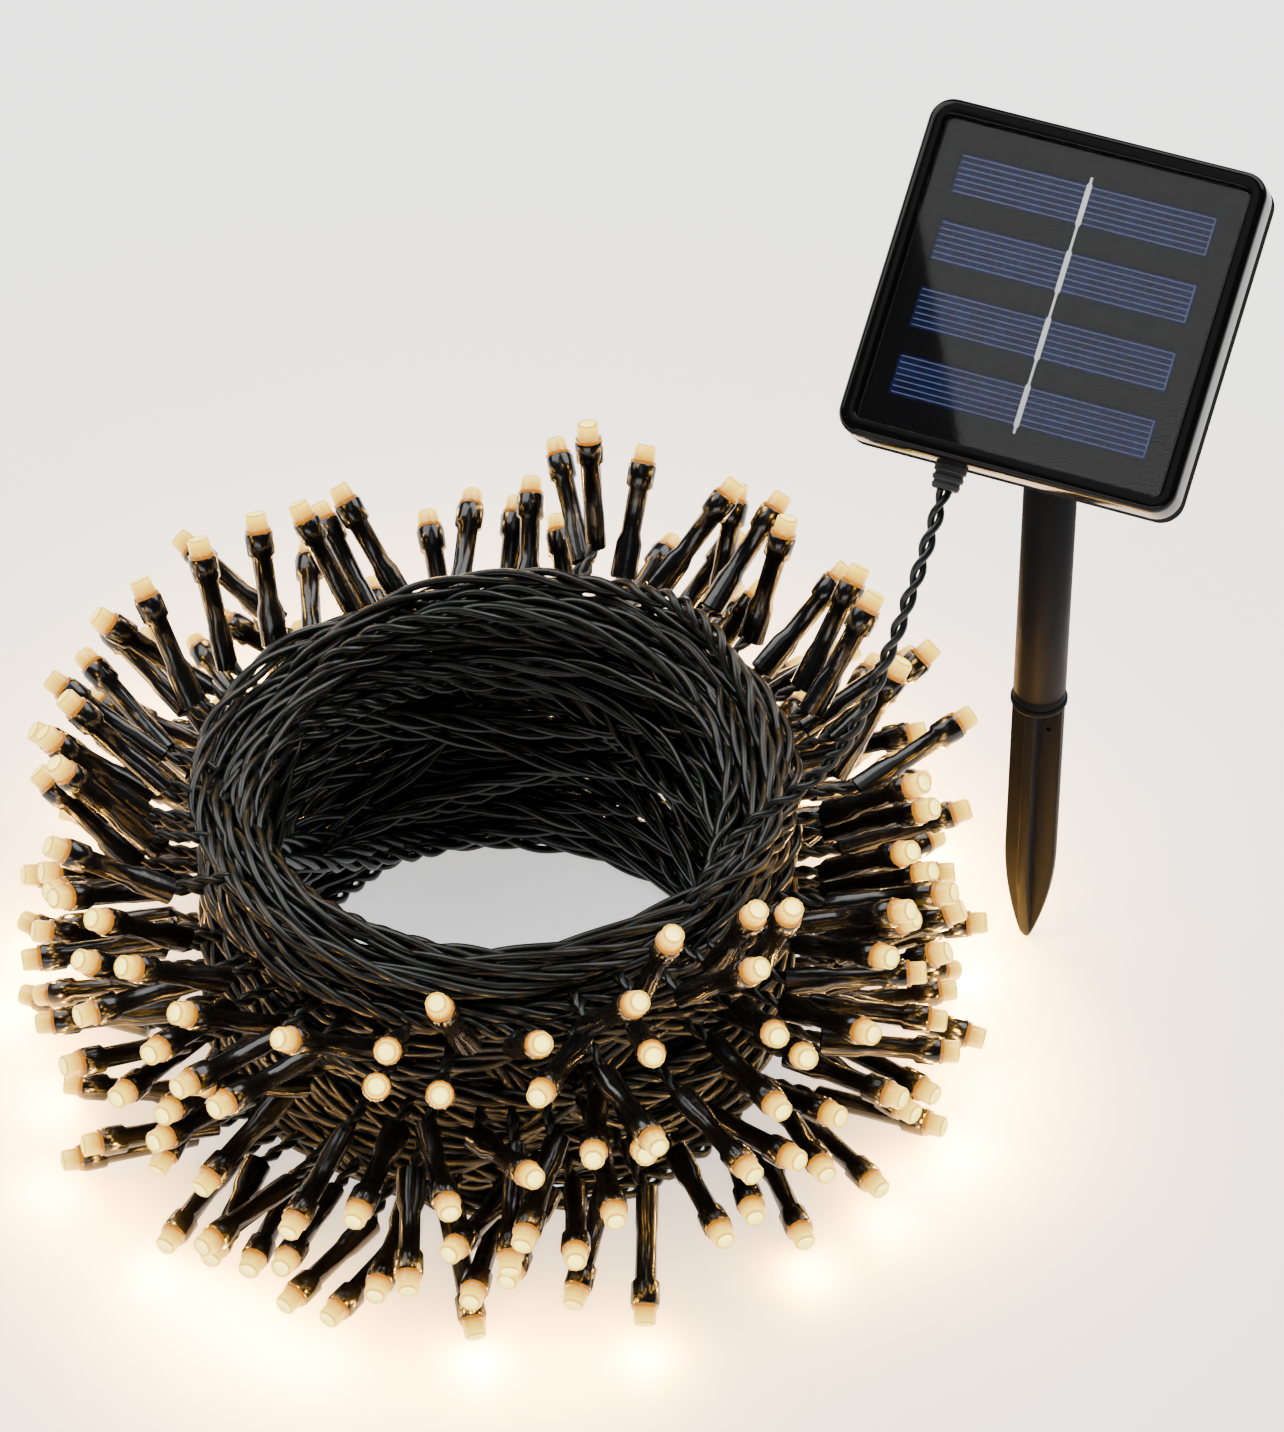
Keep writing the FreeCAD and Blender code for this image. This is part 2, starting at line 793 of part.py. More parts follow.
def string_coil():
    """A ring with an upright outer wall and an inner wall that narrows towards the floor."""
    outline = [
        Vector(coil_inner_radius_low, 0, 0),
        Vector(coil_outer_radius, 0, 0),
        Vector(coil_outer_radius, 0, coil_height),
        Vector(coil_inner_radius_high, 0, coil_height),
    ]
    section = Part.Face(Part.makePolygon(outline + outline[:1]))
    ring = section.revolve(Vector(0, 0, 0), Vector(0, 0, 1), 360)
    rims = [edge for edge in ring.Edges if edge.isClosed()]
    ring = ring.makeFillet(coil_edge_radius, rims)
    ring.translate(Vector(coil_centre_x, coil_centre_y, 0))
    return ring


def light_sleeve():
    """A flattened base for the wires, a slim barrel, and a wider collar round the diode."""
    base = rounded_slab(sleeve_base_width, sleeve_base_thickness, sleeve_base_corner, 0, sleeve_base_length)
    barrel = Part.makeCylinder(sleeve_barrel_radius, sleeve_length)
    collar_low = sleeve_length - collar_length
    collar = Part.makeCylinder(collar_radius, collar_length, Vector(0, 0, collar_low))
    collar = collar.makeChamfer(collar_edge, [e for e in collar.Edges if e.BoundBox.ZLength < flat_edge])
    bore = Part.makeCylinder(sleeve_bore_radius, sleeve_length + 2 * cut_past, Vector(0, 0, -cut_past))
    seat_low = Vector(0, 0, sleeve_length - diode_seat_depth)
    seat = Part.makeCylinder(diode_radius + diode_clearance, diode_seat_depth + cut_past, seat_low)
    return joined(base, barrel, collar).cut([bore, seat])


def light_diode():
    """A clear diode with a flange at the collar and a dimple in its tip."""
    low = sleeve_length - diode_seat_depth
    high = sleeve_length + diode_reach
    body = Part.makeCylinder(diode_radius, high - low, Vector(0, 0, low))
    body = body.makeChamfer(diode_edge, [e for e in body.Edges if e.BoundBox.ZMin > high - flat_edge])
    flange = Part.makeCylinder(diode_flange_radius, diode_flange_height, Vector(0, 0, sleeve_length))
    dimple = Part.makeCone(0, dimple_radius, dimple_depth, Vector(0, 0, high - dimple_depth))
    return joined(body, flange).cut(dimple)


def light_legs():
    high = sleeve_length - diode_seat_depth
    half = leg_side / 2
    legs = []
    for x in (-leg_spacing / 2, leg_spacing / 2):
        legs.append(block(x - half, x + half, -half, half, high - leg_length, high))
    return legs


def light_reach():
    return sleeve_length + diode_reach


def gap_between(first, second):
    """The shortest distance between two straight pieces, each given as its two ends."""
    start_a, end_a = first
    start_b, end_b = second
    run_a = end_a - start_a
    run_b = end_b - start_b
    between = start_a - start_b
    a = run_a.dot(run_a)
    b = run_a.dot(run_b)
    c = run_b.dot(run_b)
    d = run_a.dot(between)
    e = run_b.dot(between)
    spread = a * c - b * b
    along_a = clamp((b * e - c * d) / spread) if spread > 1e-9 else 0.0
    along_b = (b * along_a + e) / c
    if along_b < 0 or along_b > 1:
        along_b = clamp(along_b)
        along_a = clamp((b * along_b - d) / a)
    return (between + run_a * along_a - run_b * along_b).Length


def clamp(value):
    return min(1.0, max(0.0, value))


class Light:
    """Where one light sits: its base, the way it points, and the turn of its flat base."""

    def __init__(self, angle, height, gap, tilt, swing, roll):
        ring = coil_outer_radius + gap
        centre = Vector(coil_centre_x, coil_centre_y, 0)
        self.angle = angle
        self.base = centre + Vector(ring * math.cos(angle), ring * math.sin(angle), height)
        heading = angle + swing
        level = math.cos(tilt)
        self.direction = Vector(level * math.cos(heading), level * math.sin(heading), math.sin(tilt))
        self.roll = roll

    def line(self):
        return (self.base, self.base + self.direction * light_reach())

    def placement(self):
        turn = Rotation(Vector(0, 0, 1), self.direction)
        return Placement(self.base, turn.multiply(Rotation(Vector(0, 0, 1), self.roll)))

    def root(self):
        """The point inside the coil that its wires come from."""
        ring = coil_outer_radius - tail_root_depth
        height = min(max(self.base.z, coil_edge_radius), coil_height - coil_edge_radius)
        centre = Vector(coil_centre_x, coil_centre_y, 0)
        return centre + Vector(ring * math.cos(self.angle), ring * math.sin(self.angle), height)


def standing_things():
    """The pieces that a light keeps clear of, as (line, distance) pairs."""
    stake = (Vector(0, 0, 0), Vector(0, 0, tube_top))
    things = [(stake, spike_collar_radius + collar_radius + stake_clearance)]
    route = lead_route()
    for start, end in zip(route[3:], route[4:]):
        things.append(((start, end), cord_radius + collar_radius + lead_clearance))
    return things


def fits(light, others, things):
    """Whether a light clears the floor, the stake, the lead and the lights placed before it."""
    line = light.line()
    if min(line[0].z, line[1].z) < collar_radius + floor_clearance:
        return False
    if any(gap_between(line, thing) < distance for thing, distance in things):
        return False
    spacing = 2 * collar_radius + light_clearance
    reach = light_reach() + spacing
    for other in others:
        far = (other.base - light.base).Length > 2 * reach
        if not far and gap_between(line, other.line()) < spacing:
            return False
    return True


def placed_lights():
    """Lights at even steps along the cord, each nudged until it clears its neighbours."""
    chance = random.Random(light_seed)
    middle_radius = (coil_inner_radius_low + coil_outer_radius) / 2
    step = light_spacing_along_cord / middle_radius
    things = standing_things()
    lowest_base = collar_radius + base_margin_low
    highest_base = coil_height - base_margin_high
    lights = []
    for index in range(light_count):
        share = (index * height_step) % 1.0
        chosen = None
        for attempt in range(placing_tries):
            loose = 1.0 + attempt / tries_per_loosening
            rise = clamp(share + chance.uniform(-height_jitter, height_jitter) * loose)
            tilt = light_tilt_low + (light_tilt_high - light_tilt_low) * rise**light_tilt_curve
            tilt += chance.uniform(-light_tilt_scatter, light_tilt_scatter)
            if rise < floor_share:
                tilt = chance.uniform(flat_tilt_low, flat_tilt_high)
            swing = chance.uniform(-light_swing_scatter, light_swing_scatter)
            angle = index * step + chance.uniform(-angle_jitter, angle_jitter) * loose
            height = lowest_base + rise * (highest_base - lowest_base)
            gap = chance.uniform(base_gap_low, base_gap_high)
            roll = chance.uniform(0, 180)
            light = Light(angle, height, gap, math.radians(tilt), math.radians(swing), roll)
            if fits(light, lights, things):
                chosen = light
                break
        if chosen is None:
            print("light %d has no clear place" % index)
            chosen = light
        lights.append(chosen)
    return lights


def in_group(lights, group):
    """The lights of one group: the groups follow each other along the cord."""
    size = -(-len(lights) // light_groups)
    return lights[group * size : (group + 1) * size]


def at_each(lights, shapes):
    copies = []
    for light in lights:
        for shape in shapes:
            copy = shape.copy()
            copy.Placement = light.placement()
            copies.append(copy)
    return copies


def light_tails(lights):
    """The short stretch of twisted wire from the coil into each sleeve."""
    return [rod(light.root(), light.base + light.direction * tail_bite, tail_radius) for light in lights]


def export(node, shapes):
    """Writes one node's solids to its own file."""
    solids = [solid for shape in shapes for solid in shape.Solids]
    for solid in solids:
        if not solid.isValid() or solid.Volume <= 0:
            print("bad solid in", node)
    shape = solids[0] if len(solids) == 1 else Part.makeCompound(solids)
    shape.exportStep("parts/%s.step" % node)


def export_head():
    power_place, mode_place = button_places()
    pieces = {
        "front_bezel": [front_bezel()],
        "solar_cover": [solar_cover()],
        "cell_board": [cell_board()],
        "solar_cells": solar_cells(),
        "cell_fingers": cell_fingers(),
        "bus_ribbon": [bus_ribbon()],
        "back_shell": [back_shell()],
        "case_gasket": [case_gasket()],
        "case_screws": case_screws(),
        "battery": [battery()],
        "battery_cradle": [battery_cradle()],
        "battery_contacts": battery_contacts(),
        "control_board": [control_board()],
        "board_components": board_components(),
        "tact_switches": tact_switches(),
        "power_button": [push_button(power_place)],
        "mode_button": [push_button(mode_place)],
        "hookup_wires": hookup_wires(),
        "cable_gland": [cable_gland()],
        "hinge_bolt": [hinge_bolt()],
        "clamp_knob": [clamp_knob()],
    }
    for node, shapes in pieces.items():
        export(node, [on_head(shape) for shape in shapes])


def export_stake():
    export("hinge_washers", washers())
    export("tilt_bracket", [tilt_bracket()])
    export("stake_tube", [stake_tube()])
    export("ground_spike", [ground_spike()])


def export_lights():
    export("panel_lead", [panel_lead()])
    export("string_coil", [string_coil()])
    lights = placed_lights()
    for group in range(light_groups):
        members = in_group(lights, group)
        number = group + 1
        export("light_sleeves_%d" % number, at_each(members, [light_sleeve()]))
        export("light_diodes_%d" % number, at_each(members, [light_diode()]))
        export("diode_legs_%d" % number, at_each(members, light_legs()))
        export("light_tails_%d" % number, light_tails(members))


os.makedirs("parts", exist_ok=True)
export_head()
export_stake()
export_lights()
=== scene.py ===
"""Solar string lights: a solar head on a ground stake, and a loose coil of 200 lit capsule lights."""

import json
import math
import random

import bmesh
import bpy
import numpy as np
from mathutils import Matrix, Vector


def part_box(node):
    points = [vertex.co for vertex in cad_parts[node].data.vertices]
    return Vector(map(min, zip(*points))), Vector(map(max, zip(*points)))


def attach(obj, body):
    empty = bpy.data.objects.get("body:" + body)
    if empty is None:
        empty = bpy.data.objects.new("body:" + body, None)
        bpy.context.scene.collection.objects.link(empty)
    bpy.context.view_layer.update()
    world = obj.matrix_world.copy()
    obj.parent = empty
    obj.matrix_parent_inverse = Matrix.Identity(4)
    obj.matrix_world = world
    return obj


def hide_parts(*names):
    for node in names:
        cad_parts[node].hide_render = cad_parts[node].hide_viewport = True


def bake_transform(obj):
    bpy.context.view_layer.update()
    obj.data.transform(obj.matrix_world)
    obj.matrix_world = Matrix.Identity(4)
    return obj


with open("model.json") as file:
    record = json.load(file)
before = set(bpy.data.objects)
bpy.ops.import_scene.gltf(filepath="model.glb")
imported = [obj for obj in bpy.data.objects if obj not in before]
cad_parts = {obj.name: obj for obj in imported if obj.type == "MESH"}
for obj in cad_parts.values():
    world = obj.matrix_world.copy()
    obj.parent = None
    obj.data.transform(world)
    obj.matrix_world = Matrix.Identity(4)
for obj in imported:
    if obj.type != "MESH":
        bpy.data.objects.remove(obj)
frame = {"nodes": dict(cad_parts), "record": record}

MM = 0.001
UP = Vector((0, 0, 1))
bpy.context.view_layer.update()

# Camera, as a place round the object.
camera_azimuth = math.radians(22)
camera_elevation = math.radians(44)
camera_distance = 1.5
camera_aim = Vector((-0.080, -0.028, 0.063))
camera_focal = 196.0
camera_sensor = 36.0

# Head: its hinge and its tilt, and the sizes its shells share.
rest_tilt = math.radians(52)
hinge_height = 157.2 * MM
hinge_in_head = Vector((0, -14.0, -28.5)) * MM
head_side = 72 * MM
bezel_depth = 7.5 * MM
bezel_rim = 3.5 * MM
ledge_width = 3.5 * MM
laminate_back = 4.0 * MM
cover_thickness = 1.6 * MM
cover_gap = 0.1 * MM
cover_recess = 0.8 * MM
HEAD = (
    Matrix.Translation((0, 0, hinge_height))
    @ Matrix.Rotation(math.pi / 2 - rest_tilt, 4, "X")
    @ Matrix.Translation(-hinge_in_head)
)

# Coil, in the frame of its own middle.
coil_low, coil_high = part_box("string_coil")
coil_centre = Vector(((coil_low.x + coil_high.x) / 2, (coil_low.y + coil_high.y) / 2, 0))
coil_outer = (coil_high.x - coil_low.x) / 2
coil_height = coil_high.z
coil_inner_at_floor = 46 * MM
coil_inner_at_rim = 54 * MM
cord_turns = 61
cord_pieces = 6
stations_per_turn = 80
stations_per_point = 5
points_per_stretch = 14
cord_diameter = 3.9 * MM
cord_strand_radius = 0.92 * MM
cord_strand_offset = 1.03 * MM
floor_lift = 0.7 * MM
cord_lay = 34 * MM
cord_lay_swing = 0.6

# How the coil's turns stray on their way round, and how they settle on each other.
keys_per_turn = 6
turns_per_pass = 6.3
long_stray = 34 * MM
short_stray = 8 * MM
long_stray_share = 0.42
smoothing_rounds = 14
smoothing_share = 0.5
settling_rounds = 120
settling_push = 0.4
settling_share = 0.15
settled_spacing = 0.92
inner_wall_strays = (-5.0, 4.0)
outer_wall_strays = (-4.0, 1.5)
rim_strays = (-6.0, 3.0)
lead_in_turns = 0.3

# One bight of cord that stands up from the coil's rim: where it is in its turn, and its size.
bight_station = 60
bight_half_span = 6
bight_rise = 9 * MM

# Tail of each light: a twisted pair that starts under the coil's skin and ends in the sleeve's base.
tail_strand_radius = 0.78 * MM
tail_strand_offset = 0.75 * MM
tail_lay = 9 * MM
tail_points = 9
tail_in_sleeve = 1.5 * MM
tail_root_depth = 6 * MM
tail_slant = 5 * MM
tail_over_floor = 3 * MM
tail_under_rim = 4 * MM

# Stake: its tube, and the ribs of its ground spike.
tube_radius = 5.65 * MM
spike_top = 72 * MM
spike_shoulder = 28 * MM
spike_rib_thickness = 2.4 * MM
spike_rib_half = 1.2 * MM
spike_cuts = 15
spike_cuts_reach = 30 * MM
spike_tip_half_width = 0.5 * MM
spike_taper = 0.8
spike_hole_radius = 0.6 * MM
spike_hole_drop = 7 * MM
spike_hole_depth = 4 * MM

# Light thrown by each lit diode, in watts. A high one does little to the floor and is dimmed.
glow_power = 0.075
high_glow_share = 1 / 8
low_light = 26 * MM
glow_reach = 32.5 * MM
glow_size = 2.2 * MM
glow_color = (1.0, 0.50, 0.08)

# Grey card mirrored by the solar panel: how far off, how big, and how its edge runs over the cells.
card_distance = 0.6
card_size = (0.30, 0.60)
card_power = 0.55
card_edge_offset = -38 * MM
card_slant = Vector((72, 37))

# Lead between the head and the coil.
lead_strand_radius = 0.80 * MM
lead_strand_offset = 0.80 * MM
lead_lay = 11 * MM
lead_lay_swing = 0.15
lead_resolution = 24
lead_halves_meet = 0.112


# Camera.


def round_the_object(azimuth, elevation):
    """The direction from the object towards something seen at that azimuth and elevation."""
    level = math.cos(elevation)
    return Vector((math.sin(azimuth) * level, -math.cos(azimuth) * level, math.sin(elevation)))


def set_up_camera():
    """The camera, on the line from the object that its azimuth and elevation give."""
    lens = bpy.data.cameras.new("camera")
    lens.sensor_fit = "HORIZONTAL"
    lens.sensor_width = camera_sensor
    lens.lens = camera_focal
    lens.clip_start = 0.01
    camera = bpy.data.objects.new("camera", lens)
    bpy.context.scene.collection.objects.link(camera)
    outwards = round_the_object(camera_azimuth, camera_elevation)
    camera.location = camera_aim + outwards * camera_distance
    camera.rotation_euler = outwards.to_track_quat("Z", "Y").to_euler()
    bpy.context.scene.camera = camera


set_up_camera()


# Cords: each is a middle line, read from a smooth spline, with strands wound round it.


def smooth_line(points, resolution):
    """The points of a smooth spline through a route, as close together as its resolution gives."""
    route = bpy.data.curves.new("route", "CURVE")
    route.dimensions = "3D"
    route.resolution_u = resolution
    spline = route.splines.new("NURBS")
    spline.points.add(len(points) - 1)
    for place, point in zip(spline.points, points):
        place.co = (*point, 1)
    spline.order_u = 3
    spline.use_endpoint_u = True
    holder = bpy.data.objects.new("route", route)
    bpy.context.scene.collection.objects.link(holder)
    bpy.context.view_layer.update()
    line = bpy.data.meshes.new_from_object(holder)
    places = np.array([vertex.co for vertex in line.vertices])
    bpy.data.objects.remove(holder)
    return places


def unit(vectors):
    """Each vector at length one."""
    return vectors / np.linalg.norm(vectors, axis=-1, keepdims=True)


def frames_along(line):
    """For each point of a line, two directions square to it, carried along without turning."""
    ahead = unit(np.gradient(line, axis=0))
    side = np.cross(ahead[0], [0.3, 0.2, 1.0])
    sides = []
    for direction in ahead:
        side = side - direction * (side @ direction)
        side = side / np.linalg.norm(side)
        sides.append(side)
    sides = np.array(sides)
    return sides, np.cross(ahead, sides)


def strand_lines(line, count, offset, pitch, swing):
    """The middle lines of strands twisted round a line, in a lay that tightens and slackens by a share."""
    sides, risers = frames_along(line)
    steps = np.linalg.norm(np.diff(line, axis=0), axis=1)
    travelled = np.concatenate([[0], np.cumsum(steps)])
    lay = 1 + swing * np.sin(travelled * 41) * np.sin(travelled * 17 + 1)
    turn = np.concatenate([[0], np.cumsum(steps * 2 * math.pi / (pitch * lay[1:]))])
    lines = []
    for strand in range(count):
        angle = (turn + strand * 2 * math.pi / count)[:, None]
        slack = 1 + swing * (1 + np.sin(travelled * (67 + 9 * strand) + 2 * strand))[:, None] / 2
        lines.append(line + offset * slack * (np.cos(angle) * sides + np.sin(angle) * risers))
    return lines


def tube_mesh(name, lines, radius, roundness):
    """One mesh of round tubes along several lines."""
    curve = bpy.data.curves.new(name, "CURVE")
    curve.dimensions = "3D"
    curve.bevel_depth = radius
    curve.bevel_resolution = roundness
    curve.use_fill_caps = True
    for line in lines:
        spline = curve.splines.new("POLY")
        spline.points.add(len(line) - 1)
        for place, point in zip(spline.points, line):
            place.co = (*point, 1)
    holder = bpy.data.objects.new(name, curve)
    bpy.context.scene.collection.objects.link(holder)
    bpy.context.view_layer.update()
    mesh = bpy.data.meshes.new_from_object(holder)
    bpy.data.objects.remove(holder)
    mesh.shade_smooth()
    piece = bpy.data.objects.new(name, mesh)
    bpy.context.scene.collection.objects.link(piece)
    return piece


def strays_of(turns, limits, chance):
    """How far each turn may pass a wall or a rim, drawn at random between two limits in millimetres."""
    return np.array([[chance.uniform(*limits)] for _ in range(turns)]) * MM


def settled(radii, heights, rounds, chance):
    """Turns pushed apart in every section of the coil until they lie beside each other.

    Each turn has limits of its own, so that the coil's walls and rims stay ragged."""
    spacing = cord_diameter * settled_spacing
    margin = cord_diameter / 2
    turns = len(radii)
    apart = ~np.eye(turns, dtype=bool)
    inner = strays_of(turns, inner_wall_strays, chance) + coil_inner_at_floor + margin
    outer = strays_of(turns, outer_wall_strays, chance) + coil_outer - margin
    top = strays_of(turns, rim_strays, chance) + coil_height - margin
    slope = (coil_inner_at_rim - coil_inner_at_floor) / coil_height
    for _ in range(rounds):
        across = radii[:, None] - radii[None]
        upwards = heights[:, None] - heights[None]
        gap = np.sqrt(across**2 + upwards**2) + 1e-9
        push = np.clip(spacing - gap, 0, None) * apart[:, :, None] / gap * settling_push
        radii = radii + (across * push).sum(1)
        heights = heights + (upwards * push).sum(1)
        radii = eased(radii, settling_share)
        heights = eased(heights, settling_share)
        heights = np.clip(heights, margin + floor_lift, top)
        radii = np.clip(radii, inner + slope * heights, outer)
    return radii, heights


def eased(values, share):
    """Each value moved that share of the way to the middle of its two neighbours along the cord."""
    along = values.reshape(-1)
    middle = (along[:-2] + along[2:]) / 2
    along = along.copy()
    along[1:-1] += share * (middle - along[1:-1])
    return along.reshape(values.shape)


def coil_route():
    """The coil's control points: turns that wander up, down, in and out at random, then settle."""
    chance = random.Random(7)
    keys = cord_turns * keys_per_turn + 2
    key_radius, key_height = [], []
    for key in range(keys):
        turn = key / keys_per_turn
        pass_share = (turn / turns_per_pass) % 2
        rise = 1 - abs(pass_share - 1) if key > 2 else 1
        stray = long_stray if chance.random() < long_stray_share else short_stray
        height = coil_height * rise + chance.gauss(0, stray)
        key_height.append(min(max(height, 0), coil_height))
        key_radius.append(chance.uniform(coil_inner_at_floor, coil_outer))
    stations = np.arange(cord_turns * stations_per_turn)
    at = stations / stations_per_turn * keys_per_turn
    radii = np.interp(at, range(keys), key_radius).reshape(cord_turns, -1)
    heights = np.interp(at, range(keys), key_height).reshape(cord_turns, -1)
    for _ in range(smoothing_rounds):
        radii, heights = eased(radii, smoothing_share), eased(heights, smoothing_share)
    radii, heights = settled(radii, heights, settling_rounds, chance)
    top_turn = int(heights[:, bight_station].argmax())
    span = np.abs(np.arange(stations_per_turn) - bight_station) / bight_half_span
    heights[top_turn] += bight_rise * np.clip(1 - span**2, 0, 1) ** 2
    angle = math.atan2(lead_points[-1].y - coil_centre.y, lead_points[-1].x - coil_centre.x)
    angles = angle - stations * 2 * math.pi / stations_per_turn
    radii, heights = radii.reshape(-1), heights.reshape(-1)
    away = math.hypot(lead_points[-1].y - coil_centre.y, lead_points[-1].x - coil_centre.x)
    lead_in = np.clip(1 - stations / (stations_per_turn * lead_in_turns), 0, 1) ** 2
    radii = radii + (away - radii[0]) * lead_in
    heights = heights + (lead_points[-1].z - heights[0]) * lead_in
    places = np.stack([radii * np.cos(angles), radii * np.sin(angles), heights], axis=1)
    return (places + np.array(coil_centre))[::stations_per_point]


lead_points = [
    Vector(point) * MM
    for point in (
        (-12.0, -33.0, 155.6),
        (-12.0, -44.0, 147.0),
        (-15.0, -53.0, 129.0),
        (-20.0, -58.0, 109.0),
        (-28.0, -60.0, 92.5),
        (-38.0, -66.0, 84.0),
        (-43.0, -77.0, 80.0),
        (-46.0, -87.0, 73.0),
    )
]


def make_lead():
    """The twisted pair from the head's gland to the coil, in two halves that meet on the bracket."""
    line = smooth_line(lead_points, lead_resolution)
    strands = strand_lines(line, 2, lead_strand_offset, lead_lay, lead_lay_swing)
    half = int(np.argmin(np.abs(line[:, 2] - lead_halves_meet)))
    upper = tube_mesh("lead_upper", [strand[: half + 1] for strand in strands], lead_strand_radius, 2)
    lower = tube_mesh("lead_lower", [strand[half:] for strand in strands], lead_strand_radius, 2)
    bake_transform(upper)
    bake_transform(lower)
    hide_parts("panel_lead")
    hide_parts("panel_lead")
    return [upper, lower]


def make_coil():
    """The whole string of lights' cord, wound in one line and made in a few lengths."""
    line = smooth_line(coil_route(), points_per_stretch)
    strands = strand_lines(line, 3, cord_strand_offset, cord_lay, cord_lay_swing)
    cuts = [round(share * (len(line) - 1) / cord_pieces) for share in range(cord_pieces + 1)]
    lengths = []
    for number, (start, end) in enumerate(zip(cuts, cuts[1:]), 1):
        pieces = [strand[start : end + 1] for strand in strands]
        cord = tube_mesh(f"coil_cord_{number}", pieces, cord_strand_radius, 1)
        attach(cord, "stake")
        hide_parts("string_coil")
        lengths.append(cord)
    return lengths


lead_pieces = make_lead()
coil_pieces = make_coil()


# Materials.


class Value:
    """A socket that gives a number all over a surface, for use in plain arithmetic."""

    def __init__(self, finish, socket):
        self.finish = finish
        self.socket = socket

    def maths(self, operation, first, second):
        return self.finish.add("ShaderNodeMath", {"operation": operation}, {0: first, 1: second})

    def __add__(self, other):
        return self.maths("ADD", self, other)

    def __radd__(self, other):
        return self.maths("ADD", other, self)

    def __mul__(self, other):
        return self.maths("MULTIPLY", self, other)

    def __rmul__(self, other):
        return self.maths("MULTIPLY", other, self)


class Finish:
    """A material: its constants sit on its shader, and every other node comes from add()."""

    def __init__(self, name, color, roughness, **constants):
        self.material = bpy.data.materials.new(name)
        self.material.use_nodes = True
        self.tree = self.material.node_tree
        self.shader = self.tree.nodes["Principled BSDF"]
        self.feed("Base Color", (*color, 1))
        self.feed("Roughness", roughness)
        for socket, value in constants.items():
            self.feed(socket.replace("_", " ").title().replace("Ior", "IOR"), value)

    def feed(self, socket, value):
        """Sets a socket of the shader, to a constant or to what a node gives."""
        self.fill(self.shader.inputs[socket], value)

    def fill(self, socket, value):
        """Sets any socket, to a constant or to what a node gives."""
        if isinstance(value, Value):
            self.tree.links.new(value.socket, socket)
        else:
            socket.default_value = value

    def add(self, kind, settings=None, sockets=None, output=0):
        """A node of that kind, its settings made first, then the values or links of its sockets."""
        node = self.tree.nodes.new(kind)
        for name, value in (settings or {}).items():
            if name == "stops":
                set_stops(node.color_ramp, value)
            else:
                setattr(node, name, value)
        for socket, value in (sockets or {}).items():
            self.fill(node.inputs[socket], value)
        return Value(self, node.outputs[output])

    def place(self):
        """Where each point of the surface is."""
        return self.add("ShaderNodeTexCoord", output="Object")

    def noise(self, size, detail=2.0):
        """Soft patches of that size in metres, from 0 to 1."""
        sockets = {"Vector": self.place(), "Scale": 1 / size, "Detail": detail}
        return self.add("ShaderNodeTexNoise", None, sockets)

    def mix(self, share, first, second):
        """A colour between two, by a share from 0 to 1."""
        sockets = {0: share, 6: first, 7: second}
        return self.add("ShaderNodeMix", {"data_type": "RGBA"}, sockets, output=2)

    def ramp(self, value, stops):
        """The colour that a row of stops gives a number."""
        return self.add("ShaderNodeValToRGB", {"stops": stops}, {"Fac": value})

    def bump(self, height, depth, strength):
        """Relief of that depth in metres, from a number over the surface."""
        sockets = {"Height": height, "Distance": depth, "Strength": strength}
        self.feed("Normal", self.add("ShaderNodeBump", None, sockets))


def set_stops(ramp, stops):
    """Gives a ramp its stops, each a position and a colour."""
    while len(ramp.elements) < len(stops):
        ramp.elements.new(1.0)
    for element, (position, color) in zip(ramp.elements, stops):
        element.position = position
        element.color = color


def cord_finish():
    """Soft vinyl insulation, near black with a green cast, a little uneven in its gloss."""
    finish = Finish("cord_vinyl", (0.003, 0.004, 0.003), 0.30, specular_ior_level=0.3)
    patches = finish.noise(9 * MM)
    finish.feed("Roughness", 0.22 + patches * 0.16)
    finish.feed("Base Color", finish.mix(patches, (0.0016, 0.0026, 0.0020, 1), (0.0040, 0.0056, 0.0046, 1)))
    finish.bump(finish.noise(1.2 * MM, 3.0), 0.03 * MM, 0.5)
    return finish.material


def sleeve_finish():
    """Shrunk sleeve: glossy black, with long soft ripples."""
    finish = Finish("sleeve_black", (0.002, 0.002, 0.002), 0.16, specular_ior_level=0.4)
    finish.feed("Roughness", 0.12 + finish.noise(3 * MM) * 0.14)
    finish.bump(finish.noise(2.4 * MM, 1.0), 0.16 * MM, 0.6)
    return finish.material


def lit_finish():
    """A lit clear diode: white-hot in its middle and amber round its rim."""
    finish = Finish("diode_lit", (0.002, 0.001, 0.0), 0.06, ior=1.5, emission_strength=5.0)
    glow = finish.add("ShaderNodeAttribute", {"attribute_name": "glow"}, output="Fac")
    stops = [
        (0.0, (0.08, 0.020, 0.0005, 1)),
        (0.35, (0.26, 0.095, 0.003, 1)),
        (0.7, (0.62, 0.40, 0.03, 1)),
        (1.0, (1.0, 0.85, 0.18, 1)),
    ]
    finish.feed("Emission Color", finish.ramp(glow, stops))
    return finish.material


def moulded_finish(name, color, gloss, grain, grain_depth, mirror=0.5):
    """Moulded plastic with faint flow marks and a fine grain."""
    finish = Finish(name, color, gloss, specular_ior_level=mirror)
    finish.feed("Roughness", gloss - 0.03 + finish.noise(12 * MM) * 0.07)
    finish.bump(finish.noise(grain, 3.0), grain_depth, 0.5)
    return finish.material


def metal_finish(name, color, roughness):
    """Bare metal, a little uneven in its shine."""
    finish = Finish(name, color, roughness, metallic=1.0)
    finish.feed("Roughness", roughness - 0.05 + finish.noise(0.8 * MM, 3.0) * 0.12)
    return finish.material


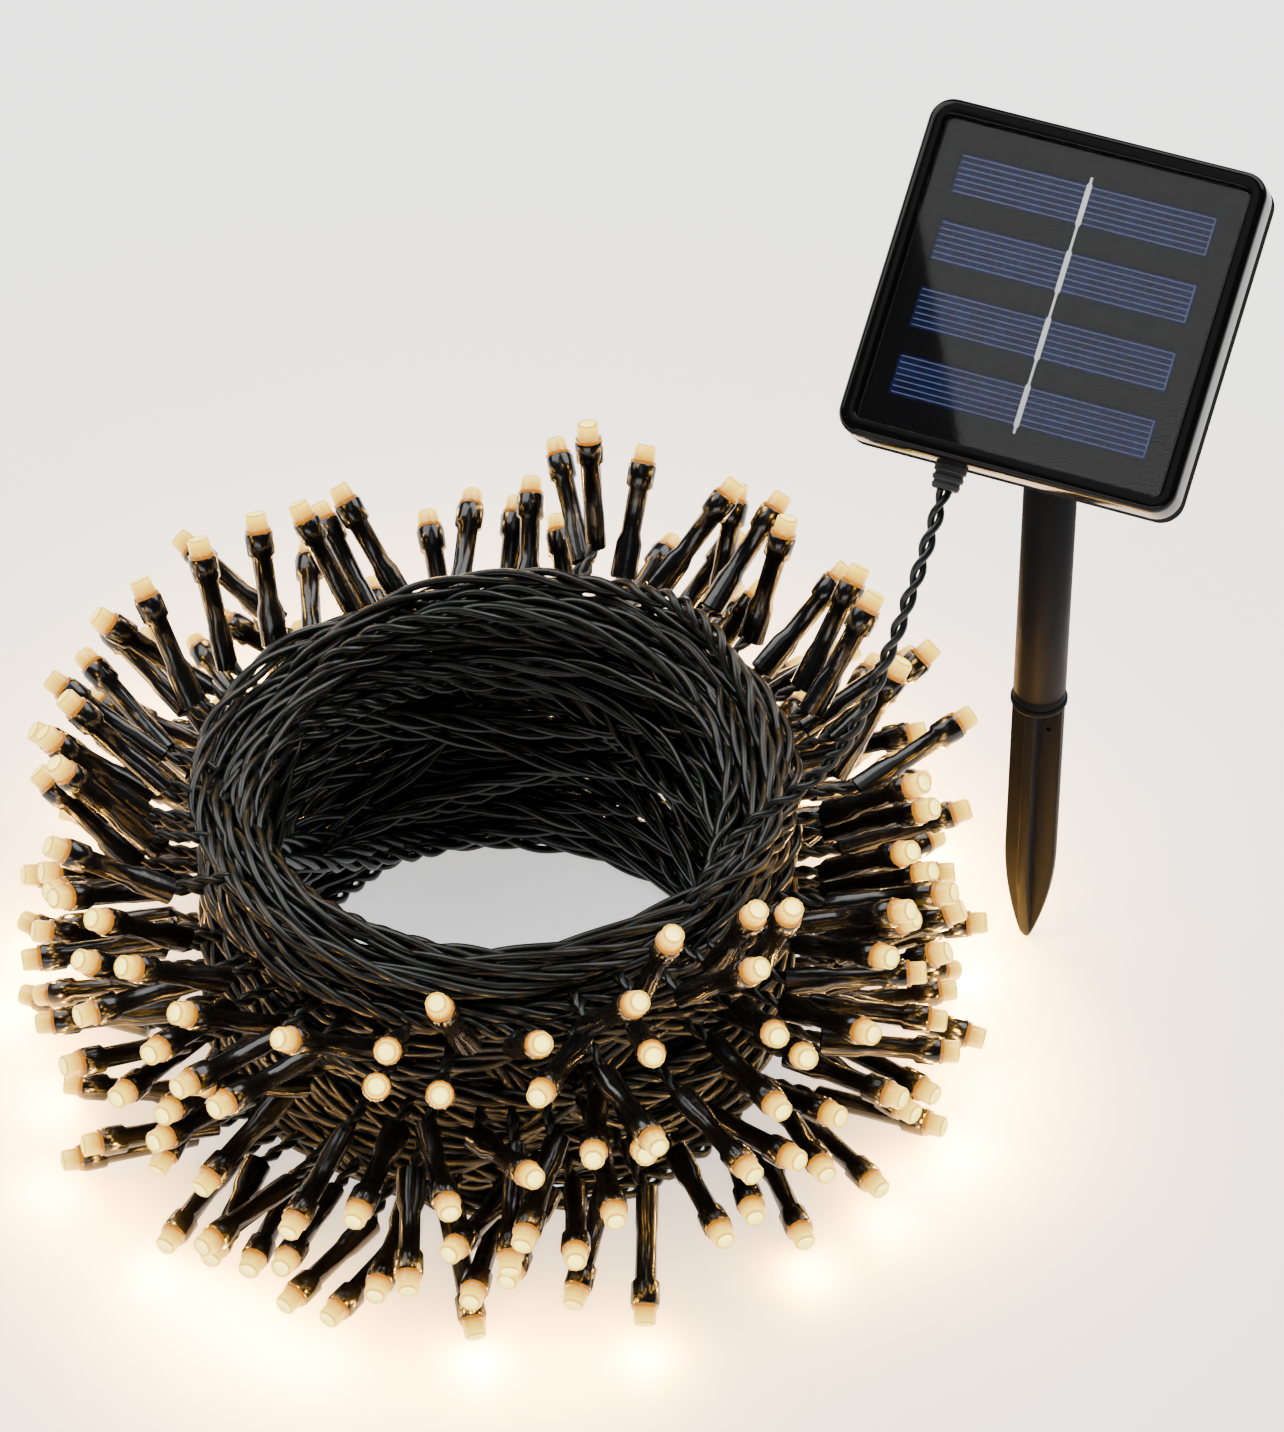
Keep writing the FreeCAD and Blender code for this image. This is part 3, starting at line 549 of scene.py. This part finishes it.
def cell_finish():
    """Silicon cell: deep blue that shifts from grain to grain, under an even sheen."""
    finish = Finish("cell_blue", (0.004, 0.006, 0.03), 0.04, specular_ior_level=0.5)
    sockets = {"Vector": finish.place(), "Scale": 1 / (2.2 * MM)}
    grains = finish.add("ShaderNodeTexVoronoi", None, sockets, output="Color")
    shade = finish.add("ShaderNodeSeparateColor", None, {0: grains})
    finish.feed("Base Color", finish.mix(shade, (0.0022, 0.0035, 0.016, 1), (0.0045, 0.0075, 0.036, 1)))
    return finish.material


def laminate_finish():
    """The black sheet behind the cells, as smooth as the clear cover that lies on it."""
    finish = Finish("laminate_black", (0.0015, 0.0015, 0.002), 0.03, specular_ior_level=0.5)
    patches = finish.noise(8 * MM)
    finish.feed("Base Color", finish.mix(patches, (0.001, 0.001, 0.0014, 1), (0.0024, 0.0024, 0.003, 1)))
    return finish.material


def clear_finish():
    """Clear sheet: a thin mirror that lets nearly all the light through."""
    finish = Finish("cover_clear", (1, 1, 1), 0.02, metallic=1.0, alpha=0.006)
    finish.feed("Roughness", 0.01 + finish.noise(20 * MM) * 0.02)
    return finish.material


finishes = {
    "gloss_shell": moulded_finish("gloss_shell", (0.002, 0.002, 0.002), 0.12, 0.7 * MM, 0.002 * MM, 0.12),
    "matte_shell": moulded_finish("matte_shell", (0.013, 0.013, 0.013), 0.45, 0.5 * MM, 0.03 * MM, 0.0),
    "stake_black": moulded_finish("stake_black", (0.009, 0.009, 0.0095), 0.45, 0.6 * MM, 0.02 * MM, 0.015),
    "clear_cover": clear_finish(),
    "laminate_black": laminate_finish(),
    "cell_blue": cell_finish(),
    "grid_silver": metal_finish("grid_silver", (0.09, 0.115, 0.21), 0.40),
    "ribbon_tin": metal_finish("ribbon_tin", (0.80, 0.80, 0.82), 0.30),
    "seal_rubber": moulded_finish("seal_rubber", (0.02, 0.02, 0.02), 0.60, 0.6 * MM, 0.02 * MM),
    "screw_steel": metal_finish("screw_steel", (0.55, 0.55, 0.56), 0.30),
    "battery_wrap": moulded_finish("battery_wrap", (0.03, 0.20, 0.10), 0.30, 2 * MM, 0.01 * MM),
    "nickel": metal_finish("nickel", (0.75, 0.72, 0.66), 0.25),
    "board_green": moulded_finish("board_green", (0.01, 0.12, 0.04), 0.35, 1.5 * MM, 0.01 * MM),
    "component_black": moulded_finish("component_black", (0.02, 0.02, 0.02), 0.40, 0.5 * MM, 0.02 * MM),
    "button_rubber": moulded_finish("button_rubber", (0.035, 0.035, 0.037), 0.55, 0.5 * MM, 0.03 * MM),
    "wire_red": moulded_finish("wire_red", (0.45, 0.02, 0.015), 0.35, 0.8 * MM, 0.01 * MM),
    "cord_pvc": cord_finish(),
    "sleeve_black": sleeve_finish(),
    "diode_clear": lit_finish(),
}


def paint(piece, slot):
    """Gives a piece the finish of a record's slot."""
    piece.data.materials.clear()
    piece.data.materials.append(finishes[slot])
    return piece


for entry in frame["record"]["subparts"]:
    node = frame["nodes"][entry["node"]]
    node.data.materials.clear()
    node.data.materials.append(finishes[entry["material_slot"]])


# The case behind the bezel has a duller skin than the bezel itself.
frame["nodes"]["back_shell"].material_slots[0].material = finishes["matte_shell"]

for cord in lead_pieces + coil_pieces:
    paint(cord, "cord_pvc")


# Modelling by hand.


def take(piece):
    """Makes a piece the only one selected, and the active one."""
    bpy.ops.object.select_all(action="DESELECT")
    piece.select_set(True)
    bpy.context.view_layer.objects.active = piece


def edit(piece):
    """Opens a piece for work on its mesh."""
    take(piece)
    bpy.ops.object.mode_set(mode="EDIT")


def done():
    """Closes the piece that is open."""
    bpy.ops.object.mode_set(mode="OBJECT")


def pick_faces(piece, wanted):
    """In edit mode, selects the faces whose centre and normal are the wanted ones."""
    bpy.ops.mesh.select_all(action="DESELECT")
    bpy.ops.mesh.select_mode(type="FACE")
    mesh = bmesh.from_edit_mesh(piece.data)
    for face in mesh.faces:
        face.select_set(wanted(face.calc_center_median(), face.normal))
    bmesh.update_edit_mesh(piece.data)


def next_ring(centre, lift, stretch):
    """Draws the selected end out along Z to its next ring, and sets how wide that ring is."""
    bpy.ops.mesh.extrude_region_move(TRANSFORM_OT_translate={"value": (0, 0, lift)})
    bpy.ops.transform.resize(value=(*stretch, 1), center_override=centre)


def drawn_out(name, sides, rings):
    """A round piece drawn out of a disc, ring by ring. A ring is (height, half width, half depth)."""
    bpy.ops.object.select_all(action="DESELECT")
    height, wide, deep = rings[0]
    bpy.ops.mesh.primitive_circle_add(vertices=sides, radius=1, fill_type="NGON", location=(0, 0, 0))
    piece = bpy.context.object
    piece.name = name
    piece.data.name = name
    piece.data.transform(Matrix.Translation((0, 0, height)) @ Matrix.Diagonal((wide, deep, 1, 1)))
    edit(piece)
    bpy.ops.mesh.select_all(action="SELECT")
    for next_height, next_wide, next_deep in rings[1:]:
        next_ring((0, 0, next_height), next_height - height, (next_wide / wide, next_deep / deep))
        height, wide, deep = next_height, next_wide, next_deep
    bpy.ops.mesh.select_all(action="SELECT")
    bpy.ops.mesh.normals_make_consistent(inside=False)
    done()
    return piece


def smooth_by_angle(piece, degrees):
    """Shades a piece smooth, but for its edges sharper than an angle."""
    take(piece)
    bpy.ops.object.shade_smooth_by_angle(angle=math.radians(degrees))
    return piece


# Lights. One sleeve and one diode are modelled along +Z, then copied to the place of each light.


def model_sleeve():
    """The black sleeve: a flattened base, a slim barrel, and a wider collar with its mouth turned in."""
    rings = [
        (0.0, 2.6, 1.7), (0.35, 3.1, 2.25), (8.0, 2.95, 2.3), (10.4, 2.2, 2.2),
        (19.9, 2.3, 2.3), (20.6, 3.05, 3.05), (25.1, 3.15, 3.15), (25.5, 2.9, 2.9), (24.6, 2.5, 2.5),
    ]
    return smooth_by_angle(drawn_out("sleeve_model", 12, scaled(rings)), 50)


def model_diode():
    """The clear diode: a flange, a round lens and a dimple in its tip, with how brightly each part glows."""
    rings = [
        (24.7, 2.3, 2.3), (25.6, 2.9, 2.9), (26.2, 2.9, 2.9), (26.4, 2.45, 2.45),
        (29.2, 2.4, 2.4), (29.7, 2.0, 2.0), (29.6, 1.6, 1.6), (28.4, 0.8, 0.8),
    ]
    glow_of_ring = (0.1, 0.15, 0.2, 0.4, 0.75, 0.45, 0.85, 1.0)
    diode = smooth_by_angle(drawn_out("diode_model", 12, scaled(rings)), 40)
    glow = diode.data.attributes.new("glow", "FLOAT", "POINT")
    for vertex in diode.data.vertices:
        ring = min(range(len(rings)), key=lambda index: ring_distance(vertex.co, scaled(rings)[index]))
        glow.data[vertex.index].value = glow_of_ring[ring]
    return diode


def scaled(rings):
    """Rings given in millimetres, in metres."""
    return [tuple(size * MM for size in ring) for ring in rings]


def ring_distance(place, ring):
    """How far a point is from a ring, in height and in radius."""
    return abs(place.z - ring[0]) + abs(math.hypot(place.x, place.y) - ring[1])


def shells_of(node):
    """The separate solids of a CAD node, each as its triangles' corners: an array of n x 3 x 3."""
    mesh = node.data
    corners = np.zeros(len(mesh.vertices) * 3)
    mesh.vertices.foreach_get("co", corners)
    corners = corners.reshape(-1, 3)
    triangles = np.array([polygon.vertices for polygon in mesh.polygons])
    _, same = np.unique(np.round(corners / (0.001 * MM)), axis=0, return_inverse=True)
    same = same.reshape(-1)[triangles]
    label = np.arange(same.max() + 1)
    while True:
        lowest = label[same].min(axis=1)
        fresh = label.copy()
        for side in range(3):
            np.minimum.at(fresh, same[:, side], lowest)
        fresh = fresh[fresh]
        if (fresh == label).all():
            break
        label = fresh
    shell = label[same[:, 0]]
    return [corners[triangles[shell == number]] for number in np.unique(shell)]


def middle_of(shell):
    """The centre of the space that a closed shell holds."""
    origin = shell[0, 0]
    a, b, c = (shell[:, corner] - origin for corner in range(3))
    volume = np.einsum("ij,ij->i", a, np.cross(b, c))
    return origin + ((a + b + c) * volume[:, None]).sum(0) / (4 * volume.sum())


def light_places(group):
    """Where each light of a group stands: its base's place, and its across, flat and axis directions."""
    sleeves = shells_of(frame["nodes"][f"light_sleeves_{group}"])
    diodes = shells_of(frame["nodes"][f"light_diodes_{group}"])
    diode_corners = [shell.reshape(-1, 3) for shell in diodes]
    places = []
    for sleeve in sleeves:
        corners = sleeve.reshape(-1, 3)
        middle = middle_of(sleeve)
        near = sorted(range(len(diodes)), key=lambda n: np.linalg.norm(diode_corners[n][0] - middle))[:6]
        mate = min(near, key=lambda n: closest(corners, diode_corners[n]))
        axis = unit(middle_of(diodes[mate]) - middle)
        along = (corners - middle) @ axis
        base = middle + axis * along.min()
        foot = corners[along < along.min() + 0.2 * MM] - base
        foot = foot - np.outer(foot @ axis, axis)
        spread = np.linalg.eigh(foot.T @ foot)[1][:, 2]
        wide = unit(spread - axis * (spread @ axis))
        turn = Matrix((wide, np.cross(axis, wide), axis)).transposed().to_4x4()
        places.append(Matrix.Translation(base) @ turn)
    return places


def closest(first, second):
    """The smallest distance between two sets of points, on a thinned sample of the first."""
    sample = first[:: max(1, len(first) // 60)]
    return np.linalg.norm(sample[:, None] - second[None], axis=2).min()


def copies(name, model, places):
    """One piece made of a model's copies, each with its own mesh."""
    made = []
    for place in places:
        copy = model.copy()
        copy.data = model.data.copy()
        copy.data.transform(place)
        bpy.context.scene.collection.objects.link(copy)
        made.append(copy)
    bpy.ops.object.select_all(action="DESELECT")
    for copy in made:
        copy.select_set(True)
    bpy.context.view_layer.objects.active = made[0]
    bpy.ops.object.join()
    made[0].name = name
    made[0].data.name = name
    return made[0]


def tails_of(name, places):
    """The twisted pairs that run from inside the coil to the sleeves' bases."""
    lines = []
    for place in places:
        foot = place @ Vector((0, 0, tail_in_sleeve))
        from_middle = Vector((foot.x - coil_centre.x, foot.y - coil_centre.y, 0))
        root = coil_centre + from_middle.normalized() * (coil_outer - tail_root_depth)
        level = foot.z - place.to_3x3().col[2].z * tail_slant
        root.z = min(max(level, tail_over_floor), coil_height - tail_under_rim)
        share = np.linspace(0, 1, tail_points)[:, None]
        middle = np.array(root) * (1 - share) + np.array(foot) * share
        lines += strand_lines(middle, 2, tail_strand_offset, tail_lay, 0)
    return tube_mesh(name, lines, tail_strand_radius, 1)


sleeve_model = model_sleeve()
diode_model = model_diode()
all_places = []
lit_pieces = []
for group in (1, 2, 3, 4):
    places = light_places(group)
    all_places += places
    sleeves = copies(f"sleeves_{group}", sleeve_model, places)
    diodes = copies(f"diodes_{group}", diode_model, places)
    tails = tails_of(f"tails_{group}", places)
    lit_pieces += [sleeves, tails]
    for piece, slot, node in (
        (sleeves, "sleeve_black", "light_sleeves"),
        (diodes, "diode_clear", "light_diodes"),
        (tails, "cord_pvc", "light_tails"),
    ):
        paint(piece, slot)
        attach(piece, "stake")
        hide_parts(f"{node}_{group}")
for model in (sleeve_model, diode_model):
    bpy.data.objects.remove(model)


# Head and stake.


def block(name, wide, high, low, top):
    """A block centred on the Z axis, from one height to another."""
    bpy.ops.object.select_all(action="DESELECT")
    bpy.ops.mesh.primitive_cube_add(size=1, location=(0, 0, 0))
    piece = bpy.context.object
    piece.name = name
    piece.data.name = name
    place = Matrix.Translation((0, 0, (low + top) / 2))
    piece.data.transform(place @ Matrix.Diagonal((wide, high, top - low, 1)))
    return piece


def pick_edges(piece, wanted):
    """In edit mode, selects the edges whose two ends are the wanted ones."""
    bpy.ops.mesh.select_all(action="DESELECT")
    bpy.ops.mesh.select_mode(type="EDGE")
    mesh = bmesh.from_edit_mesh(piece.data)
    for edge in mesh.edges:
        edge.select_set(wanted(edge.verts[0].co, edge.verts[1].co))
    bmesh.update_edit_mesh(piece.data)


def round_corners(piece, radius, steps):
    """Rounds the four upright edges of a block, which is left open for more work."""
    pick_edges(piece, lambda a, b: abs(a.z - b.z) > 1 * MM)
    bpy.ops.mesh.bevel(offset=radius, segments=steps, affect="EDGES")


def round_over(radius, steps, way):
    """Carries the picked face round a quarter circle, upwards and in, or inwards and down."""
    for step in range(steps):
        before, after = (math.pi / 2 * part / steps for part in (step, step + 1))
        if way > 0:
            run, rise = math.cos(before) - math.cos(after), math.sin(after) - math.sin(before)
        else:
            run, rise = math.sin(after) - math.sin(before), math.cos(after) - math.cos(before)
        bpy.ops.mesh.inset(thickness=radius * run, depth=radius * rise)


def draw_in(half, next_half):
    """Draws the picked face in to a smaller one, in its own plane."""
    bpy.ops.mesh.extrude_region_move(TRANSFORM_OT_translate={"value": (0, 0, 0)})
    share = next_half / half
    bpy.ops.transform.resize(value=(share, share, 1), center_override=(0, 0, 0))


def model_bezel():
    """The glossy front frame: a rounded rim, a recess for the laminate, and the ledge under it."""
    outer_edge = 1.6 * MM
    inner_edge = 0.45 * MM
    half = head_side / 2
    recess = half - bezel_rim
    opening = recess - ledge_width
    bezel = block("bezel", head_side, head_side, -bezel_depth, -outer_edge)
    edit(bezel)
    round_corners(bezel, 5 * MM, 8)
    pick_faces(bezel, lambda centre, normal: normal.z > 0.9)
    round_over(outer_edge, 5, 1)
    bpy.ops.mesh.inset(thickness=bezel_rim - outer_edge - inner_edge)
    round_over(inner_edge, 3, -1)
    bpy.ops.mesh.extrude_region_move(TRANSFORM_OT_translate={"value": (0, 0, inner_edge - laminate_back)})
    draw_in(recess, opening)
    pick_faces(bezel, lambda centre, normal: normal.z < -0.9)
    draw_in(half, opening)
    pick_faces(bezel, lambda centre, normal: centre.xy.length < 1 * MM and abs(normal.z) > 0.9)
    bpy.ops.mesh.bridge_edge_loops()
    bpy.ops.mesh.select_all(action="SELECT")
    bpy.ops.mesh.normals_make_consistent(inside=False)
    done()
    bezel.data.transform(HEAD)
    return smooth_by_angle(bezel, 40)


def model_cover():
    """The clear sheet, a hair's breadth smaller than its recess and clear of the cells."""
    side = head_side - 2 * (bezel_rim + cover_gap)
    cover = block("cover", side, side, cover_gap - cover_recess - cover_thickness, -cover_recess)
    edit(cover)
    round_corners(cover, 1.5 * MM, 4)
    done()
    cover.data.transform(HEAD)
    return smooth_by_angle(cover, 40)


def turned(name, outline, sides):
    """A round piece spun from its outline, given as (radius, height) round its wall."""
    mesh = bpy.data.meshes.new(name)
    points = [(radius * MM, 0, height * MM) for radius, height in outline]
    count = len(points)
    mesh.from_pydata(points, [(index, (index + 1) % count) for index in range(count)], [])
    piece = bpy.data.objects.new(name, mesh)
    bpy.context.scene.collection.objects.link(piece)
    edit(piece)
    bpy.ops.mesh.select_all(action="SELECT")
    bpy.ops.mesh.spin(steps=sides, angle=2 * math.pi, center=(0, 0, 0), axis=(0, 0, 1))
    bpy.ops.mesh.select_all(action="SELECT")
    bpy.ops.mesh.remove_doubles(threshold=0.001 * MM)
    bpy.ops.mesh.normals_make_consistent(inside=False)
    done()
    return smooth_by_angle(piece, 40)


def model_tube():
    """The stake's tube, with its ends eased and a fine groove near each."""
    outline = [
        (4.35, 73.2), (5.35, 73.2), (5.65, 73.5), (5.65, 75.2), (5.5, 75.4), (5.5, 75.7), (5.65, 75.9),
        (5.65, 135.3), (5.5, 135.5), (5.5, 135.8), (5.65, 136.0), (5.65, 137.9), (5.35, 138.2), (4.35, 138.2),
    ]
    return turned("tube", outline, 64)


def half_width(height):
    """Half the width of the spike's ribs, which run in to the tip in one long curve."""
    share = min(1.0, height / spike_shoulder)
    widening = math.sin(share * math.pi / 2) ** spike_taper
    return spike_tip_half_width + (tube_radius - spike_tip_half_width) * widening


def model_spike():
    """The ground spike: two flat ribs that cross, a collar, and a small hole."""
    ribs = []
    for turn in (0, math.pi / 2):
        rib = block("spike_rib", 2 * tube_radius, spike_rib_thickness, 0, spike_top)
        edit(rib)
        for step in range(1, spike_cuts + 1):
            cut = (0, 0, spike_cuts_reach * step / (spike_cuts + 1))
            bpy.ops.mesh.select_all(action="SELECT")
            bpy.ops.mesh.bisect(plane_co=cut, plane_no=(0, 0, 1))
        mesh = bmesh.from_edit_mesh(rib.data)
        for vertex in mesh.verts:
            vertex.co.x = math.copysign(half_width(vertex.co.z), vertex.co.x)
            half_depth = min(spike_rib_half, half_width(vertex.co.z))
            vertex.co.y = math.copysign(half_depth, vertex.co.y)
        bmesh.update_edit_mesh(rib.data)
        pick_edges(rib, lambda a, b: abs(a.z - b.z) > 0.5 * MM)
        bpy.ops.mesh.bevel(offset=0.3 * MM, segments=2, affect="EDGES")
        done()
        rib.data.transform(Matrix.Rotation(turn, 4, "Z"))
        ribs.append(rib)
    collar_outline = [
        (0.0, 71.6), (5.6, 71.6), (6.0, 72.0), (6.15, 72.3), (6.15, 72.9), (5.95, 73.2), (4.3, 73.2),
        (4.3, 84.8), (3.9, 85.2), (0.0, 85.2),
    ]
    collar = turned("spike_collar", collar_outline, 48)
    spike = ribs[0]
    for other in (ribs[1], collar):
        combined(spike, other, "UNION")
    hole = Vector((tube_radius / 2, 0, spike_top - spike_hole_drop))
    drill(spike, hole, spike_hole_radius, spike_hole_depth)
    spike.name = "spike"
    spike.data.name = "spike"
    return smooth_by_angle(spike, 35)


def combined(piece, other, operation):
    """Unites a piece with another, or cuts the other out of it."""
    take(piece)
    join = piece.modifiers.new("join", "BOOLEAN")
    join.operation = operation
    join.solver = "EXACT"
    join.object = other
    bpy.ops.object.modifier_apply(modifier="join")
    bpy.data.objects.remove(other)


def drill(piece, centre, radius, depth):
    """A round hole through a piece, along Y."""
    bpy.ops.object.select_all(action="DESELECT")
    bpy.ops.mesh.primitive_cylinder_add(vertices=16, radius=radius, depth=depth)
    bit = bpy.context.object
    bit.data.transform(Matrix.Translation(centre) @ Matrix.Rotation(math.pi / 2, 4, "X"))
    combined(piece, bit, "DIFFERENCE")


def model_gland():
    """The flat rubber grommet that the lead leaves the head through, with two ribs round it."""
    rings = [
        (0.0, 3.5, 1.85), (1.2, 3.5, 1.85), (1.4, 3.1, 1.6), (2.0, 3.1, 1.6), (2.2, 3.4, 1.8),
        (3.0, 3.3, 1.75), (3.2, 2.9, 1.5), (3.7, 2.9, 1.5), (3.9, 3.1, 1.65), (4.8, 2.9, 1.5),
        (5.0, 2.5, 1.2),
    ]
    gland = drawn_out("gland", 20, scaled(rings))
    foot = Vector((-12 * MM, -head_side / 2, -9.5 * MM))
    downwards = Matrix.Rotation(math.pi / 2, 4, "X")
    gland.data.transform(HEAD @ Matrix.Translation(foot) @ downwards)
    return smooth_by_angle(gland, 40)


for piece, slot, body, node in (
    (model_bezel(), "gloss_shell", "head", "front_bezel"),
    (model_cover(), "clear_cover", "head", "solar_cover"),
    (model_gland(), "seal_rubber", "head", "cable_gland"),
    (model_tube(), "stake_black", "stake", "stake_tube"),
    (model_spike(), "stake_black", "stake", "ground_spike"),
):
    paint(piece, slot)
    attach(piece, body)
    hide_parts(node)


# Floor and light.


def make_floor():
    """A plain pale floor."""
    bpy.ops.object.select_all(action="DESELECT")
    bpy.ops.mesh.primitive_plane_add(size=8, location=(0, 0, 0))
    floor = bpy.context.object
    floor.name = "floor"
    finish = Finish("floor_pale", (0.87, 0.865, 0.86), 0.55, emission_strength=0.9)
    finish.feed("Emission Color", (1, 1, 1, 1))
    floor.data.materials.append(finish.material)
    return floor


def add_softbox(name, azimuth, elevation, distance, size, power):
    """A rectangle of soft light that faces the object, its place in degrees and metres round it."""
    lamp = bpy.data.lights.new(name, "AREA")
    lamp.shape = "RECTANGLE"
    lamp.size, lamp.size_y = size
    lamp.energy = power
    holder = bpy.data.objects.new(name, lamp)
    bpy.context.scene.collection.objects.link(holder)
    outwards = round_the_object(math.radians(azimuth), math.radians(elevation))
    holder.location = camera_aim + outwards * distance
    holder.rotation_euler = outwards.to_track_quat("Z", "Y").to_euler()
    return holder


def light_the_room():
    """Soft white light from four sides, a faint even light, and the card that the panel mirrors."""
    world = bpy.data.worlds.new("room")
    world.use_nodes = True
    world.node_tree.nodes["Background"].inputs["Color"].default_value = (1.0, 1.0, 1.0, 1)
    world.node_tree.nodes["Background"].inputs["Strength"].default_value = 0.10
    bpy.context.scene.world = world
    add_softbox("left_window", -100, 50, 1.7, (1.5, 1.5), 44)
    add_softbox("back_window", 155, 50, 1.8, (1.8, 1.2), 46)
    right_window = add_softbox("right_window", 85, 32, 1.7, (1.0, 1.2), 16)
    right_window.visible_glossy = False
    add_softbox("front_window", 5, 14, 1.9, (1.6, 0.5), 12)
    add_panel_card()


def add_panel_card():
    """A grey card that the panel mirrors to the front, with its edge aslant across the cells."""
    cover_middle = HEAD @ Vector((0, 0, -cover_recess))
    outwards = HEAD.to_3x3() @ UP
    from_camera = (cover_middle - bpy.context.scene.camera.location).normalized()
    mirrored = from_camera - 2 * from_camera.dot(outwards) * outwards
    lamp = bpy.data.lights.new("panel_card", "AREA")
    lamp.shape = "RECTANGLE"
    lamp.size, lamp.size_y = card_size
    lamp.energy = card_power
    holder = bpy.data.objects.new("panel_card", lamp)
    bpy.context.scene.collection.objects.link(holder)
    edge = HEAD.to_3x3() @ Vector((-card_slant.y, card_slant.x, 0)).normalized()
    across = edge.cross(mirrored).normalized()
    if across.x < 0:
        across.negate()
    turn = Matrix((across, mirrored.cross(across), mirrored)).transposed().to_4x4()
    start = cover_middle + HEAD.to_3x3() @ Vector((card_edge_offset, 0, 0)) + mirrored * card_distance
    holder.matrix_world = Matrix.Translation(start + across * card_size[0] / 2) @ turn


def add_glow(places, warmed):
    """The warm light that each lit diode throws ahead of it, on the floor and on what is close to it."""
    near_the_lights = bpy.data.collections.new("near_the_lights")
    for piece in warmed:
        near_the_lights.objects.link(piece)
    for place in places:
        tip = place @ Vector((0, 0, glow_reach))
        lamp = bpy.data.lights.new("glow", "POINT")
        lamp.energy = glow_power * (1 if tip.z < low_light else high_glow_share)
        lamp.color = glow_color
        lamp.shadow_soft_size = glow_size
        holder = bpy.data.objects.new("glow", lamp)
        holder.location = tip
        holder.visible_camera = False
        holder.light_linking.receiver_collection = near_the_lights
        bpy.context.scene.collection.objects.link(holder)


floor = make_floor()
light_the_room()
add_glow(all_places, [floor] + coil_pieces + lit_pieces)
